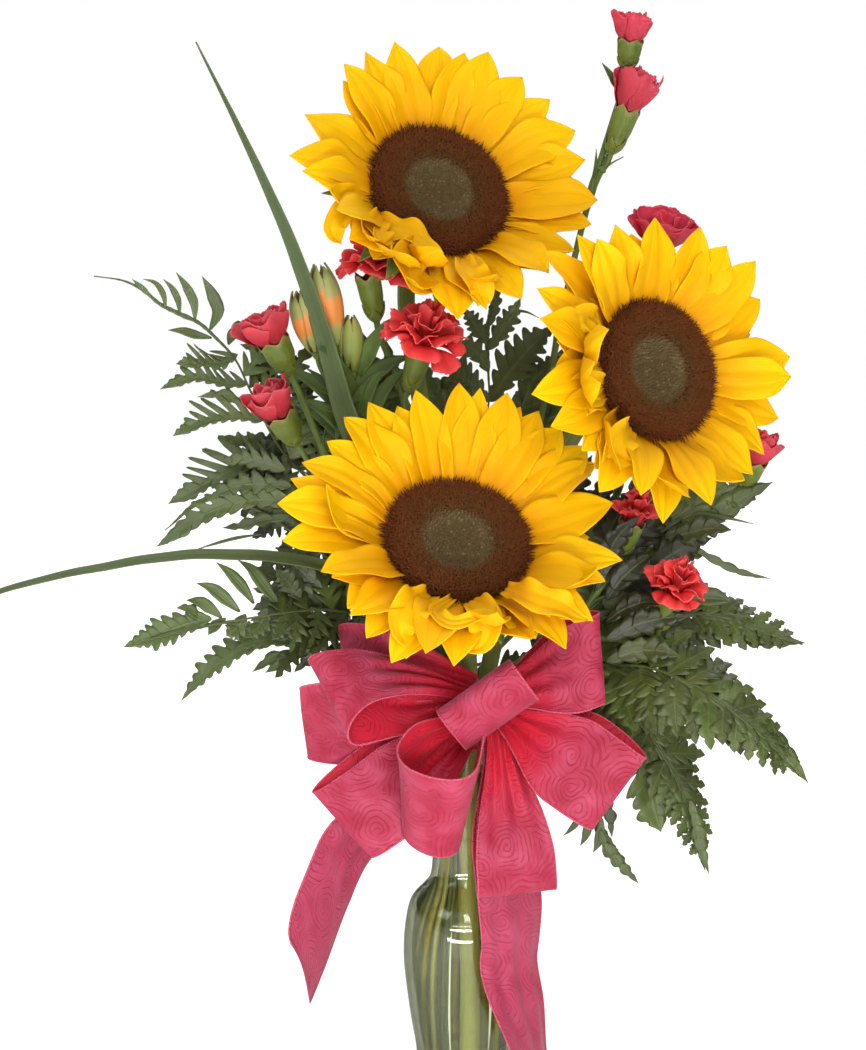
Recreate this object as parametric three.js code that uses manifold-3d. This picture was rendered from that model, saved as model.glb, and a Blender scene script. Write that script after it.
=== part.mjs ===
// Three cut sunflowers with spray carnations, alstroemeria buds, leather fern and
// lily grass, standing in a waisted clear glass vase with a ribbon bow at its neck.
// Millimetres, +Z up, origin at the middle of the vase's flat base, front towards -Y.

import * as THREE from 'three';
import { mergeVertices } from 'three/addons/utils/BufferGeometryUtils.js';
import Module from 'manifold-3d';

const wasm = await Module();
wasm.setup();

// ---------------------------------------------------------------- driving sizes
const GAP = 0.3;                 // clearance kept between neighbouring pieces

const VASE_SIDES = 28;
const VASE_OUTER = [             // [radius, height] up the outside of the glass
  [20.6, 0], [22.0, 2.0], [23.2, 27.6], [26.6, 49], [29.4, 75], [28.4, 92],
  [25.7, 103], [20.2, 109.5], [16.9, 114], [15.4, 130], [15.6, 158],
  [16.4, 175], [17.7, 190], [19.4, 200], [20.6, 204], [20.2, 206]];
const VASE_INNER = [             // and back down the inside
  [18.9, 205.4], [16.6, 195], [14.2, 175], [13.1, 158], [12.8, 130],
  [13.6, 114.5], [17.2, 108.5], [22.6, 101.5], [24.8, 91], [25.6, 75],
  [22.8, 49], [19.6, 27.6], [18.4, 18.5], [14.0, 16.2]];
const FLOOR = 16.2;              // thick pressed base
const WATER_TOP = 118;

// Where each stem stands in the neck at its narrowest (height 140), and how the
// bundle opens below and above it.
const LANES = {
  sun_front: [1.06, -7.66], sun_upper: [-6.09, 5.26], sun_right: [7.31, 3.17],
  spray_a: [-2.04, 0.12], spray_b: [-6.47, -2.71], spray_c: [0.31, 3.04],
  spray_d: [3.18, 8.12], spray_e: [7.41, -6.24], lily: [-9.47, -5.1],
  grass_tall: [-5.1, -6.09], grass_arched: [-4.98, -9.64],
  fern_1: [-8.69, -0.2], fern_2: [-10.95, -2.09], fern_3: [-7.78, -7.99],
  fern_4: [-11.02, 1.67], fern_5: [-0.76, 9.19], fern_6: [11.03, -1.6],
  fern_7: [7.73, -2.86], fern_8: [10.23, -4.44], fern_9: [6.37, 9.15],
  fern_10: [1.54, 11.04], fern_11: [-3.32, 10.64], fern_12: [0.29, 6.43] };
const SPREAD = [[18, 1.5], [50, 1.78], [84, 1.62], [104, 1.18], [116, 1.0], [140, 1.0], [175, 1.05], [206, 1.34]];

const SUN_STEM_R = 4.2;
const SPRAY_STEM_R = 1.5;
const FERN_STEM_R = 1.1;

// Sunflower heads: centre of the disc's face, the way it looks, in-plane axes, disc
// radius and, for the outline of the ray petals, [angle, reach, lift] of each tip.
const HEADS = {
  front: { centre: [-4.99, -72.0, 284.77], axis: [0.1521, -0.7124, 0.6851], right: [0.9884, 0.1096, -0.1054], up: [0.0, 0.6932, 0.7207], disc: 31.5,
    tips: [[-172, 75.8, 5.5], [-151, 68.2, 18.0], [-133, 67.8, 11.5], [-113, 70.3, 2.0], [-103, 69.2, 16.0], [-93, 68.7, 10.0], [-79, 56.2, 32.0], [-66, 65.8, 22.0], [-53, 71.3, 11.5], [-36, 68.7, 9.0], [-23, 65.0, 17.5], [-8, 69.9, 12.0], [17, 69.7, 12.0], [41, 75.0, 12.5], [52, 72.3, 14.0], [62, 72.7, 16.0], [74, 73.8, 18.0], [91, 74.5, 17.5], [106, 73.8, 14.0], [123, 75.2, 12.0], [134, 74.1, 12.0], [146, 70.4, 12.0], [167, 75.4, 12.0], [178, 78.4, 12.0]] },
  upper: { centre: [-13.06, 4.0, 435.63], axis: [0.3009, -0.8167, 0.4924], right: [0.9537, 0.2577, -0.1554], up: [0.0, 0.5163, 0.8564], disc: 32.5,
    tips: [[-178, 72.1, 12.0], [-158, 65.8, 23.0], [-137, 66.6, 16.0], [-121, 63.1, 26.0], [-103, 65.7, 23.0], [-85, 69.5, 9.5], [-75, 67.3, 14.5], [-60, 66.9, 15.5], [-45, 63.8, 20.5], [-31, 65.4, 23.5], [-9, 70.3, 12.0], [2, 72.8, 12.0], [19, 71.2, 12.0], [31, 73.4, 12.0], [46, 71.5, 14.0], [59, 71.7, 13.0], [74, 72.6, 15.5], [92, 72.8, 8.5], [110, 72.6, 12.0], [123, 71.1, 12.0], [133, 70.3, 12.0], [162, 68.9, 11.5]] },
  right: { centre: [83.16, -36.0, 356.57], axis: [0.5273, -0.8085, 0.2614], right: [0.8497, 0.5017, -0.1622], up: [0.0, 0.3077, 0.9515], disc: 31.0,
    tips: [[-164, 72.5, 5.5], [-151, 69.2, 6.5], [-121, 69.0, 6.5], [-110, 64.6, 17.5], [-92, 69.1, 6.0], [-77, 63.3, 19.5], [-62, 57.3, 26.5], [-42, 64, 8], [-25, 71.2, -4.0], [-10, 73.0, -2.0], [11, 71.0, 10.0], [35, 69.1, 5.5], [50, 69.9, 16.5], [61, 67.5, 12.0], [75, 68.0, 12.0], [97, 66.0, 12.0], [119, 65.6, 15.5], [142, 73.7, -1.5], [157, 69.7, 2.0], [170, 68.2, 8.5]] },
};
// Free part of each sunflower stem, from the lip to behind the head.
const SUN_ROUTES = {
  front: [[0.5, -18, 228], [-3, -36, 248]],
  upper: [[-12, 12, 260], [-20, 24, 330], [-28, 34, 385]],
  right: [[20, 8, 250], [38, 12, 300], [55, 8, 332]],
};

// Spray carnations: foot of the calyx, middle of the bloom and its radius.
const BLOOMS = {
  carnation_1: { base: [-41.7, 8.0, 378.1], centre: [-47.4, 2.0, 408.4], radius: 15.5 },
  carnation_2: { base: [-26.3, -8.0, 346.9], centre: [-18.1, -14.0, 373.6], radius: 18.5 },
  carnation_3: { base: [-81.1, -9.0, 354.3], centre: [-91.8, -14.0, 376.3], radius: 12.5 },
  carnation_4: { base: [-77.3, -22.0, 323.5], centre: [-88.4, -28.0, 343.0], radius: 11.5 },
  carnation_5: { base: [74.4, 24.0, 493.5], centre: [76.3, 22.0, 511.0], radius: 8.6 },
  carnation_6: { base: [67.9, 24.0, 455.2], centre: [78.3, 20.0, 484.2], radius: 10.5 },
  carnation_7: { base: [87.9, 16.0, 399.0], centre: [91.3, 8.0, 421.1], radius: 15 },
  carnation_8: { base: [132.1, 28.0, 295.4], centre: [139.9, 20.0, 318.3], radius: 13 },
  carnation_9: { base: [72.5, -2.0, 270.1], centre: [78.7, -8.0, 292.5], radius: 13 },
  carnation_10: { base: [88.8, -20.0, 238.5], centre: [96.5, -30.0, 261.6], radius: 15 },
};
// Each spray has one stem that forks at the last point of its trunk.
const SPRAYS = {
  spray_a: { trunk: [[-9, 1, 250], [-20, 0, 300]], arms: { carnation_1: [[-30, 4, 345]], carnation_2: [[-25, -5, 328]] } },
  spray_b: { trunk: [[-24, -6, 235], [-50, -8, 280]], arms: { carnation_3: [[-66, -7, 318]], carnation_4: [[-66, -16, 303]] } },
  spray_c: { trunk: [[16, 22, 262], [36, 32, 330], [48, 32, 390], [58.2, 28, 434]], arms: { carnation_5: [[69, 30, 470]], carnation_6: [[63, 26, 445]] } },
  spray_d: { trunk: [[30, 20, 235], [62, 30, 268]], arms: { carnation_7: [[80, 34, 320], [86, 28, 370]], carnation_8: [[100, 36, 276], [122, 33, 283]] } },
  spray_e: { trunk: [[26, -10, 220], [44, -9, 231]], arms: { carnation_9: [[60, -4, 250]], carnation_10: [[68, -13, 231], [82, -17, 231]] } },
};

const LILY = { trunk: [[-26, 2, 250], [-44, 6, 300], [-53, 7, 335]],
  buds: { lily_bud_1: { base: [-60.2, 6.0, 365.7], tip: [-67.9, 0.0, 403.0], radius: 6 },
          lily_bud_2: { base: [-69.4, 4.0, 362.6], tip: [-77.1, -2.0, 391.3], radius: 5.5 },
          lily_bud_3: { base: [-52.9, 6.0, 353.2], tip: [-53.6, 5.0, 379.6], radius: 4.6 } } };

// Lily grass: route of the keel and half width along it.
const GRASS = {
  grass_tall: { route: [[-20, -7, 240], [-40, -5, 295], [-55.8, -4.0, 336.5], [-66.0, -6.0, 373.2], [-80.1, -8.0, 414.0], [-100.0, -8.0, 458.6], [-121.8, -4.0, 502.1]], half: 6.4, peak: 0.34, taper: 1.1, face: [-0.3, -1, 0.1] },
  grass_arched: { route: [[-22, -19, 236], [-46, -21, 258], [-71.3, -24.0, 268.4], [-98.1, -30.0, 272.6], [-129.0, -36.0, 273.5], [-164.1, -42.0, 269.0], [-194.4, -48.0, 263.2], [-216.0, -52.0, 256.3], [-234.5, -54.0, 244.0]], half: 3.3, peak: 0.4, taper: 0.55, face: [-0.1, -0.75, 0.75] },
};

// Leather fern fronds: bare foot, then the leafy part's midrib, half widths to its
// two sides, and the way its face looks.
const FERNS = {
  fern_1: { foot: [[-28, 14, 244], [-46, 20, 268]], rib: [[-64.3, 24.0, 291.1], [-83.4, 28.0, 319.4], [-102.4, 32.0, 348.6], [-117.0, 34.0, 368.9], [-135.3, 34.0, 385.4], [-153.8, 32.0, 393.5], [-174.7, 30.0, 396.4]], left: 46, right: 30, face: [-0.2, -1, 0.3] },
  fern_2: { foot: [[-26, 5, 230], [-44, 9, 249]], rib: [[-63.9, 10.0, 264.5], [-82.6, 10.0, 278.7], [-103.4, 8.0, 290.8], [-121.9, 6.0, 293.5], [-140.1, 0.0, 280.0]], left: 26, right: 30, face: [0, -0.9, 0.5] },
  fern_3: { foot: [[-26, -6, 226], [-44, -3, 238]], rib: [[-63.2, -6.0, 243.4], [-81.2, -16.0, 244.3], [-103.5, -24.0, 242.1], [-128.0, -30.0, 238.6], [-153.6, -36.0, 232.8]], left: 30, right: 24, face: [0, -0.75, 0.7] },
  fern_4: { foot: [[-26, 10, 216], [-43, 15, 222]], rib: [[-59.7, 18.0, 224.6], [-79.1, 22.0, 223.8], [-101.0, 26.0, 219.1], [-120.4, 26.0, 209.3], [-134.8, 24.0, 195.4]], left: 22, right: 26, face: [0, -0.7, 0.75] },
  fern_5: { foot: [[0, 26, 228], [1.5, 38, 252]], rib: [[2.6, 45.0, 278.6], [6.6, 52.0, 317.0], [12.3, 54.0, 350.9], [21.8, 52.0, 380.0], [30.3, 50.0, 400.2]], left: 32, right: 32, face: [0, -1, 0.1] },
  fern_6: { foot: [[28, 0, 221], [45, 2, 231]], rib: [[63.2, 6.0, 246.0], [82.6, 16.0, 268.3], [106.7, 22.0, 286.6], [128.2, 24.0, 295.9], [144.8, 24.0, 299.3]], left: 22, right: 26, face: [0.3, -0.9, 0.4] },
  fern_7: { foot: [[24, -5, 214], [42, 0, 219]], rib: [[63.2, 4.0, 227.3], [86.8, 6.0, 236.5], [110.3, 6.0, 238.9], [136.0, 4.0, 234.5], [158.1, 0.0, 225.7]], left: 22, right: 26, face: [0.2, -0.75, 0.7] },
  fern_8: { foot: [[24, -12, 213], [42, -9, 216]], rib: [[62.3, -10.0, 218.2], [84.1, -24.0, 219.7], [105.9, -34.0, 211.6], [130.3, -40.0, 194.5], [153.1, -42.0, 171.8]], left: 26, right: 30, face: [0.3, -0.85, 0.5] },
  fern_9: { foot: [[20, 20, 212], [35, 25, 212]], rib: [[50.8, 28.0, 207.9], [70.4, 30.0, 197.6], [89.9, 28.0, 175.7], [106.7, 22.0, 145.0], [115.9, 14.0, 112.4]], left: 28, right: 28, face: [0.3, -0.9, 0.3] },
  fern_10: { foot: [[6, 21, 212], [16, 27, 209]], rib: [[26.8, 32.0, 197.6], [40.8, 38.0, 181.8], [52.9, 40.0, 156.2], [65.6, 36.0, 128.1], [84.4, 28.0, 102.1]], left: 20, right: 20, face: [0.2, -1, 0.1] },
  fern_11: { foot: [[-14, 30, 222], [-22, 46, 234]], rib: [[-30, 60, 243], [-40, 78, 255], [-52, 98, 262], [-64, 116, 260], [-76, 132, 248]], left: 30, right: 30, face: [-0.3, 0.3, 0.9] },
  fern_12: { foot: [[10, 28, 226], [18, 44, 240]], rib: [[26, 60, 250], [36, 80, 260], [48, 100, 264], [60, 118, 260], [72, 134, 246]], left: 30, right: 30, face: [0.3, 0.3, 0.9] },
};
const FERN_TEETH = 7;

// Bow: where each loop is gathered, the two corners of its outer fold, how far the
// near and far layers stand off at each edge, and how soon it opens to full width.
// The tails are given by their two edges.
const RIBBON_T = 0.8;
const KNOT = [6, -22.5, 194];
const LOOPS = {
  bow_loop_1: { base: [6.1, -27.0, 211.0], a: [-58.9, -20.0, 238.5], b: [-52.3, -30.0, 206.1], near_a: [2, -9, 6], far_a: [-2, 6, -8], near_b: [2, -9, 6], far_b: [-2, 6, -8], flare: 0.7 },
  bow_loop_2: { base: [2.4, -33.0, 208.2], a: [-70.8, -46.0, 228.0], b: [-52.6, -60.0, 193.8], near_a: [0, -8, 8], far_a: [2, 6, -8], near_b: [-6, -9, 28], far_b: [6, 6, 3], flare: 0.7 },
  bow_loop_3: { base: [1.6, -28.0, 201.9], a: [-75.7, -42.0, 214.3], b: [-72.7, -20.0, 176.4], near_a: [0, -7, 4], far_a: [0, 7, -3], near_b: [4, -7, -6], far_b: [0, 7, -4], flare: 0.7 },
  bow_loop_4: { base: [3.4, -31.0, 196.1], a: [-70.0, -38.0, 165.6], b: [-43.3, -52.0, 138.3], near_a: [3, -8, 0], far_a: [-2, 5, 2], near_b: [3, -8, 0], far_b: [-2, 5, 2], flare: 0.6 },
  bow_loop_5: { base: [5.1, -37.0, 197.5], a: [-7.1, -78.0, 181.3], b: [-11.3, -62.0, 141.8], near_a: [-38, 0, 0], far_a: [10, 0, 0], near_b: [-31, 0, 0], far_b: [6, 0, 0], flare: 0.5 },
  bow_loop_6: { base: [14.3, -31.0, 193.3], a: [4.5, -54.0, 120.3], b: [40.8, -42.0, 121.2], near_a: [2, -9, 0], far_a: [0, 7, 0], near_b: [2, -9, 0], far_b: [0, 7, 0], flare: 0.8 },
  bow_loop_7: { base: [17.9, -32.0, 199.1], a: [56.3, -56.0, 152.9], b: [80.4, -48.0, 184.0], near_a: [-2, -9, 0], far_a: [3, 6, 4], near_b: [-1, -9, 3], far_b: [3, 6, 4], flare: 0.6 },
  bow_loop_8: { base: [15.3, -27.0, 208.2], a: [62.8, -40.0, 207.4], b: [59.5, -30.0, 246.9], near_a: [0, -8, 1], far_a: [0, 8, 4], near_b: [0, -8, 1], far_b: [0, 8, 4], flare: 0.8 },
  bow_loop_9: { base: [10.4, -40.0, 205.6], a: [-7.9, -66.0, 200.2], b: [23.6, -78.0, 226.6], near_a: [8.5, 2, -12], far_a: [-8.5, -2, 12], near_b: [8.5, 2, -12], far_b: [-8.5, -2, 12], flare: 0.35 },
};
const TAILS = {
  bow_tail_left: { left: [[1.6, -26.0, 189.7], [-28.6, -32.0, 172.9], [-61.1, -36.0, 150.9], [-72.1, -46.0, 131.8], [-78.8, -50.0, 115.7], [-80.7, -50.0, 103.1], [-79.4, -50.0, 97.4]], right: [[5.2, -30.0, 186.9], [-17.7, -16.0, 152.5], [-37.4, -13.0, 133.3], [-46.6, -18.0, 123.7], [-55.5, -20.0, 106.0], [-64.0, -22.0, 80.9], [-73.4, -24.0, 59.7]] },
  bow_tail_right: { left: [[11.8, -24.0, 189.7], [6.1, -36.0, 165.5], [4.1, -46.0, 140.2], [5.1, -48.0, 117.4], [6.6, -44.0, 94.9], [6.3, -40.0, 82.5], [9.4, -44.0, 71.1], [18.8, -55.0, 50.0], [22.3, -58.0, 41.7]], right: [[15.4, -26.0, 187.8], [26.8, -22.0, 161.7], [32.4, -24.0, 133.7], [34.9, -24.0, 109.7], [34.7, -22.0, 90.7], [33.9, -20.0, 79.3], [36.3, -22.0, 60.5], [38.2, -24.0, 38.7], [39.6, -27.0, 23.2]] },
};

// ---------------------------------------------------------------- materials
const paint = (color, roughness = 0.7, metalness = 0) =>
  new THREE.MeshStandardMaterial({ color, roughness, metalness });
const GLASS = new THREE.MeshStandardMaterial({ color: '#c9d6cb', roughness: 0.05, metalness: 0, transparent: true, opacity: 0.35 });
const WATER = new THREE.MeshStandardMaterial({ color: '#dfe8df', roughness: 0.05, metalness: 0, transparent: true, opacity: 0.3 });
const STEM = paint('#7c8a45', 0.6);
const SEPAL = paint('#6f8544', 0.65);
const RAY = paint('#ffc312', 0.55);
const DISC = paint('#4a2a17', 0.9);
const CARNATION = paint('#d8343f', 0.6);
const ORANGE = paint('#dd8038', 0.5);
const FERN = paint('#33502d', 0.55);
const GRASS_M = paint('#55704a', 0.45);
const RIBBON = paint('#d95073', 0.5);

// ---------------------------------------------------------------- solids
const vec = (p) => new THREE.Vector3(p[0], p[1], p[2]);

function solid(geometry) {
  const bare = geometry.clone();
  bare.deleteAttribute('normal');
  bare.deleteAttribute('uv');
  const g = mergeVertices(bare, 1e-4);
  const index = [];
  for (let i = 0; i < g.index.count; i += 3) {
    const [a, b, c] = [g.index.getX(i), g.index.getX(i + 1), g.index.getX(i + 2)];
    if (a !== b && b !== c && c !== a) index.push(a, b, c);
  }
  const make = (tri) => new wasm.Manifold(new wasm.Mesh({
    numProp: 3, vertProperties: Float32Array.from(g.attributes.position.array), triVerts: Uint32Array.from(tri) }));
  const made = make(index);
  if (made.volume() > 0) return made;
  const turned = [];
  for (let i = 0; i < index.length; i += 3) turned.push(index[i], index[i + 2], index[i + 1]);
  return make(turned);
}

function geometryOf(manifold) {
  const m = manifold.getMesh();
  const g = new THREE.BufferGeometry();
  g.setAttribute('position', new THREE.BufferAttribute(Float32Array.from(m.vertProperties), 3));
  g.setIndex(new THREE.BufferAttribute(Uint32Array.from(m.triVerts), 1));
  return g;
}

// the same solid, swollen by d along its vertex normals
function swollen(manifold, d) {
  const g = geometryOf(manifold);
  g.computeVertexNormals();
  const p = g.attributes.position, n = g.attributes.normal;
  for (let i = 0; i < p.count; i++) {
    p.setXYZ(i, p.getX(i) + d * n.getX(i), p.getY(i) + d * n.getY(i), p.getZ(i) + d * n.getZ(i));
  }
  return solid(g);
}

function largest(manifold) {
  const parts = manifold.decompose();
  return parts.reduce((a, b) => (b.volume() > a.volume() ? b : a));
}

// maps the points of a unit box or any geometry, keeping its faces
function bend(geometry, map) {
  const p = geometry.attributes.position;
  for (let i = 0; i < p.count; i++) {
    const q = map(p.getX(i), p.getY(i), p.getZ(i));
    p.setXYZ(i, q.x, q.y, q.z);
  }
  return geometry;
}

// a polyline that an extrusion follows point by point
class Route extends THREE.Curve {
  constructor(points) {
    super();
    this.points = points;
  }

  getPoint(t) {
    const k = t * (this.points.length - 1), i = Math.min(Math.floor(k), this.points.length - 2);
    return this.points[i].clone().lerp(this.points[i + 1], k - i);
  }

  getPointAt(t) { return this.getPoint(t); }

  getTangentAt(t) {
    const n = this.points.length - 1, i = Math.round(t * n);
    const a = this.points[Math.max(0, i - 1)], b = this.points[Math.min(n, i + 1)];
    return b.clone().sub(a).normalize();
  }
}

const smooth = (points, n) => new THREE.CatmullRomCurve3(points.map(vec), false, 'centripetal').getSpacedPoints(n);

function rod(points, radius, sides) {
  const shape = new THREE.Shape();
  for (let i = 0; i < sides; i++) {
    const a = (2 * Math.PI * i) / sides;
    if (i) shape.lineTo(radius * Math.cos(a), radius * Math.sin(a));
    else shape.moveTo(radius, 0);
  }
  return new THREE.ExtrudeGeometry(shape, { steps: points.length - 1, extrudePath: new Route(points), bevelEnabled: false });
}

function turned(profile, sides) {
  return new THREE.LatheGeometry(profile.map((p) => new THREE.Vector2(p[0], p[1])), sides).rotateX(Math.PI / 2);
}

// moves a shape standing on z = 0 so that it stands at base and points to aim
function aimed(geometry, base, aim) {
  const q = new THREE.Quaternion().setFromUnitVectors(new THREE.Vector3(0, 0, 1), vec(aim).sub(vec(base)).normalize());
  return geometry.applyQuaternion(q).translate(base[0], base[1], base[2]);
}

const laneAt = (name) => SPREAD.map(([z, s]) => vec([LANES[name][0] * s, LANES[name][1] * s, z]));

// ---------------------------------------------------------------- pieces
const made = [];   // { name, body, material, free }
const add = (name, body, material) => made.push({ name, body, material });

// vase
const glass = solid(turned([[0, 0], ...VASE_OUTER, ...VASE_INNER, [0, FLOOR]], VASE_SIDES));
add('vase', glass, GLASS);

// sunflowers
for (const [key, head] of Object.entries(HEADS)) {
  const centre = vec(head.centre), n = vec(head.axis), e1 = vec(head.right), e2 = vec(head.up);
  const place = (x, y, z) => centre.clone().addScaledVector(e1, x).addScaledVector(e2, y).addScaledVector(n, z);
  const R = head.disc;
  const foot = place(0, 0, -23.3 - GAP);
  const route = [...laneAt(`sun_${key}`)];
  const free = [route[route.length - 1].toArray(), ...SUN_ROUTES[key], place(0, 0, -38).toArray(), foot.toArray()];
  const upper = smooth(free, 9).slice(1);
  add(`sunflower_${key}_stem`, solid(rod([...route, ...upper], SUN_STEM_R, 8)), STEM);
  add(`sunflower_${key}_disc`, solid(bend(turned([[0, -5.5], [R - 2.5, -5.5], [R - 0.6, -3], [R, 0], [R - 4, 3.4], [R * 0.52, 3.0], [R * 0.3, 1.6], [0, 1.2]], 22), place)), DISC);
  add(`sunflower_${key}_calyx`, solid(bend(turned([[0, -23.3], [6.5, -22.6], [17, -18.5], [29, -12.5], [36, -7.4], [31, -5.9], [0, -5.9]], 18), place)), SEPAL);
  const tips = head.tips, count = tips.length * 2;
  const at = (i) => {                      // tips at even steps, valleys between them
    const a = tips[Math.floor(i / 2) % tips.length];
    if (i % 2 === 0) return a;
    const b = tips[(Math.floor(i / 2) + 1) % tips.length];
    const turn = b[0] < a[0] ? 360 : 0;
    return [(a[0] + b[0] + turn) / 2, 0.84 * Math.min(a[1], b[1]), 0.75 * (a[2] + b[2]) / 2];
  };
  const ring = new THREE.LatheGeometry([[0, 0], [0.4, 0], [1, 0], [1, 1], [0.4, 1], [0, 1], [0, 0]].map((p) => new THREE.Vector2(p[0] + 1, p[1])), count);
  add(`sunflower_${key}_petals`, solid(bend(ring, (x, y, z) => {
    const r = Math.hypot(x, z) - 1;
    const i = Math.round((Math.atan2(z, x) / (2 * Math.PI)) * count + count) % count;
    const [deg, reach, lift] = at(i);
    const a = (deg * Math.PI) / 180, inner = R + 0.45;
    const rad = inner + r * (reach - inner);
    const rise = r < 0.2 ? -3.2 : r < 0.7 ? -3.0 + 0.3 * Math.max(-4, lift + 3) : lift;
    const h = rise + (y - 0.5) * (r > 0.7 ? 1.2 : 2.0);
    return place(rad * Math.cos(a), rad * Math.sin(a), h);
  })), RAY);
}

// spray carnations
for (const [key, spray] of Object.entries(SPRAYS)) {
  const low = laneAt(key), lip = low[low.length - 1].toArray();
  let body = null;
  for (const [bloom, arm] of Object.entries(spray.arms)) {
    const b = BLOOMS[bloom], full = vec(b.centre).distanceTo(vec(b.base));
    const dir = vec(b.centre).sub(vec(b.base)).normalize();
    const inside = vec(b.base).addScaledVector(dir, 1.5).toArray();
    const before = vec(b.base).addScaledVector(dir, -7).toArray();
    const fork = spray.trunk[spray.trunk.length - 1];
    const way = body === null
      ? [...low, ...smooth([lip, ...spray.trunk, ...arm, before, inside], 9).slice(1)]
      : smooth([fork, ...arm, before, inside], 4);
    const twig = solid(rod(way, SPRAY_STEM_R, 5));
    const neck = 0.64 * full;
    const calyx = solid(aimed(turned([[0, 0], [2.6, 0.6], [5.0, 0.45 * neck], [5.6, neck], [0, neck - 1.2]], 9), b.base, b.centre));
    body = body === null ? twig.add(calyx) : body.add(twig).add(calyx);
    const r = b.radius, f = full - neck;
    const start = vec(b.base).addScaledVector(dir, neck + GAP).toArray();
    const head = solid(aimed(turned([[0, 0], [4.6, 0], [0.62 * r, 0.5 * f], [r, f], [0.93 * r, f + 0.28 * r], [0.5 * r, f + 0.46 * r], [0, f + 0.42 * r]], 12), start, vec(b.centre).addScaledVector(dir, 20).toArray()));
    add(bloom, head, CARNATION);
  }
  add(`${key}_stem`, body, STEM);
}

// alstroemeria
{
  const low = laneAt('lily'), lip = low[low.length - 1].toArray();
  let body = null;
  for (const [name, bud] of Object.entries(LILY.buds)) {
    const dir = vec(bud.tip).sub(vec(bud.base)).normalize(), len = vec(bud.tip).distanceTo(vec(bud.base));
    const end = vec(bud.base).addScaledVector(dir, -GAP).toArray(), before = vec(bud.base).addScaledVector(dir, -9).toArray();
    const fork = LILY.trunk[LILY.trunk.length - 1];
    const way = body === null ? [...low, ...smooth([lip, ...LILY.trunk, before, end], 9).slice(1)] : smooth([fork, before, end], 3);
    const twig = solid(rod(way, body === null ? SPRAY_STEM_R : 1.1, 5));
    body = body === null ? twig : body.add(twig);
    const r = bud.radius;
    add(name, solid(aimed(turned([[0, 0], [0.45 * r, 0.04 * len], [0.9 * r, 0.3 * len], [r, 0.55 * len], [0.6 * r, 0.86 * len], [0, len]], 9), bud.base, bud.tip)), name === 'lily_bud_3' ? SEPAL : ORANGE);
  }
  add('lily_stem', body, STEM);
}

// a strip that follows points; across and face give its width and normal
function strip(points, face, half, thick, fold = 0) {
  const n = points.length - 1, up = vec(face).normalize();
  return bend(new THREE.BoxGeometry(1, 1, 1, 2, n, 1), (x, y, z) => {
    const i = Math.round((y + 0.5) * n);
    const t = points[Math.min(n, i + 1)].clone().sub(points[Math.max(0, i - 1)]).normalize();
    const side = t.clone().cross(up).normalize(), normal = side.clone().cross(t).normalize();
    const [w, shift] = half(i, Math.sign(x));
    return points[i].clone().addScaledVector(side, w * Math.sign(x)).addScaledVector(t, shift)
      .addScaledVector(normal, 2 * z * thick(i) * 0.5 + Math.abs(Math.sign(x)) * w * fold);
  });
}

// lily grass
for (const [name, blade] of Object.entries(GRASS)) {
  const low = laneAt(name), lip = low[low.length - 1].toArray();
  const upper = smooth([lip, ...blade.route], 14).slice(1);
  const points = [...low, ...upper], n = points.length - 1, k0 = low.length - 1;
  add(name, solid(strip(points, blade.face, (i) => {
    if (i <= k0) return [1.3, 0];
    const t = (i - k0) / (n - k0);
    const w = t < blade.peak ? 1.3 + (blade.half - 1.3) * Math.sin((0.5 * Math.PI * t) / blade.peak) : 0.35 + (blade.half - 0.35) * Math.max(0, 1 - (t - blade.peak) / (1 - blade.peak)) ** blade.taper;
    return [w, 0];
  }, (i) => (i <= k0 ? 2.2 : 1.4), 0.22)), GRASS_M);
}

// ferns
for (const [name, frond] of Object.entries(FERNS)) {
  const low = laneAt(name), lip = low[low.length - 1].toArray();
  const bare = [...low, ...smooth([lip, ...frond.foot, frond.rib[0], frond.rib[1]], 6).slice(1)];
  const stalk = solid(rod(bare, FERN_STEM_R, 4));
  const n = 2 * FERN_TEETH, points = smooth(frond.rib, n);
  const leaf = solid(strip(points, frond.face, (i, s) => {
    const t = i / n, full = (s < 0 ? frond.left : frond.right) * Math.min(1, 0.55 + 2.2 * t) * (1 - t) ** 0.75;
    const tooth = i % 2 === 1;
    return s === 0 ? [0, 0] : [Math.max(0.5, full * (tooth ? 1 : 0.45)), i === 0 || i === n ? 0 : tooth ? 0.22 * full : 0];
  }, () => 1.5, -0.06));
  add(name, stalk.add(leaf), FERN);
}

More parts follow.
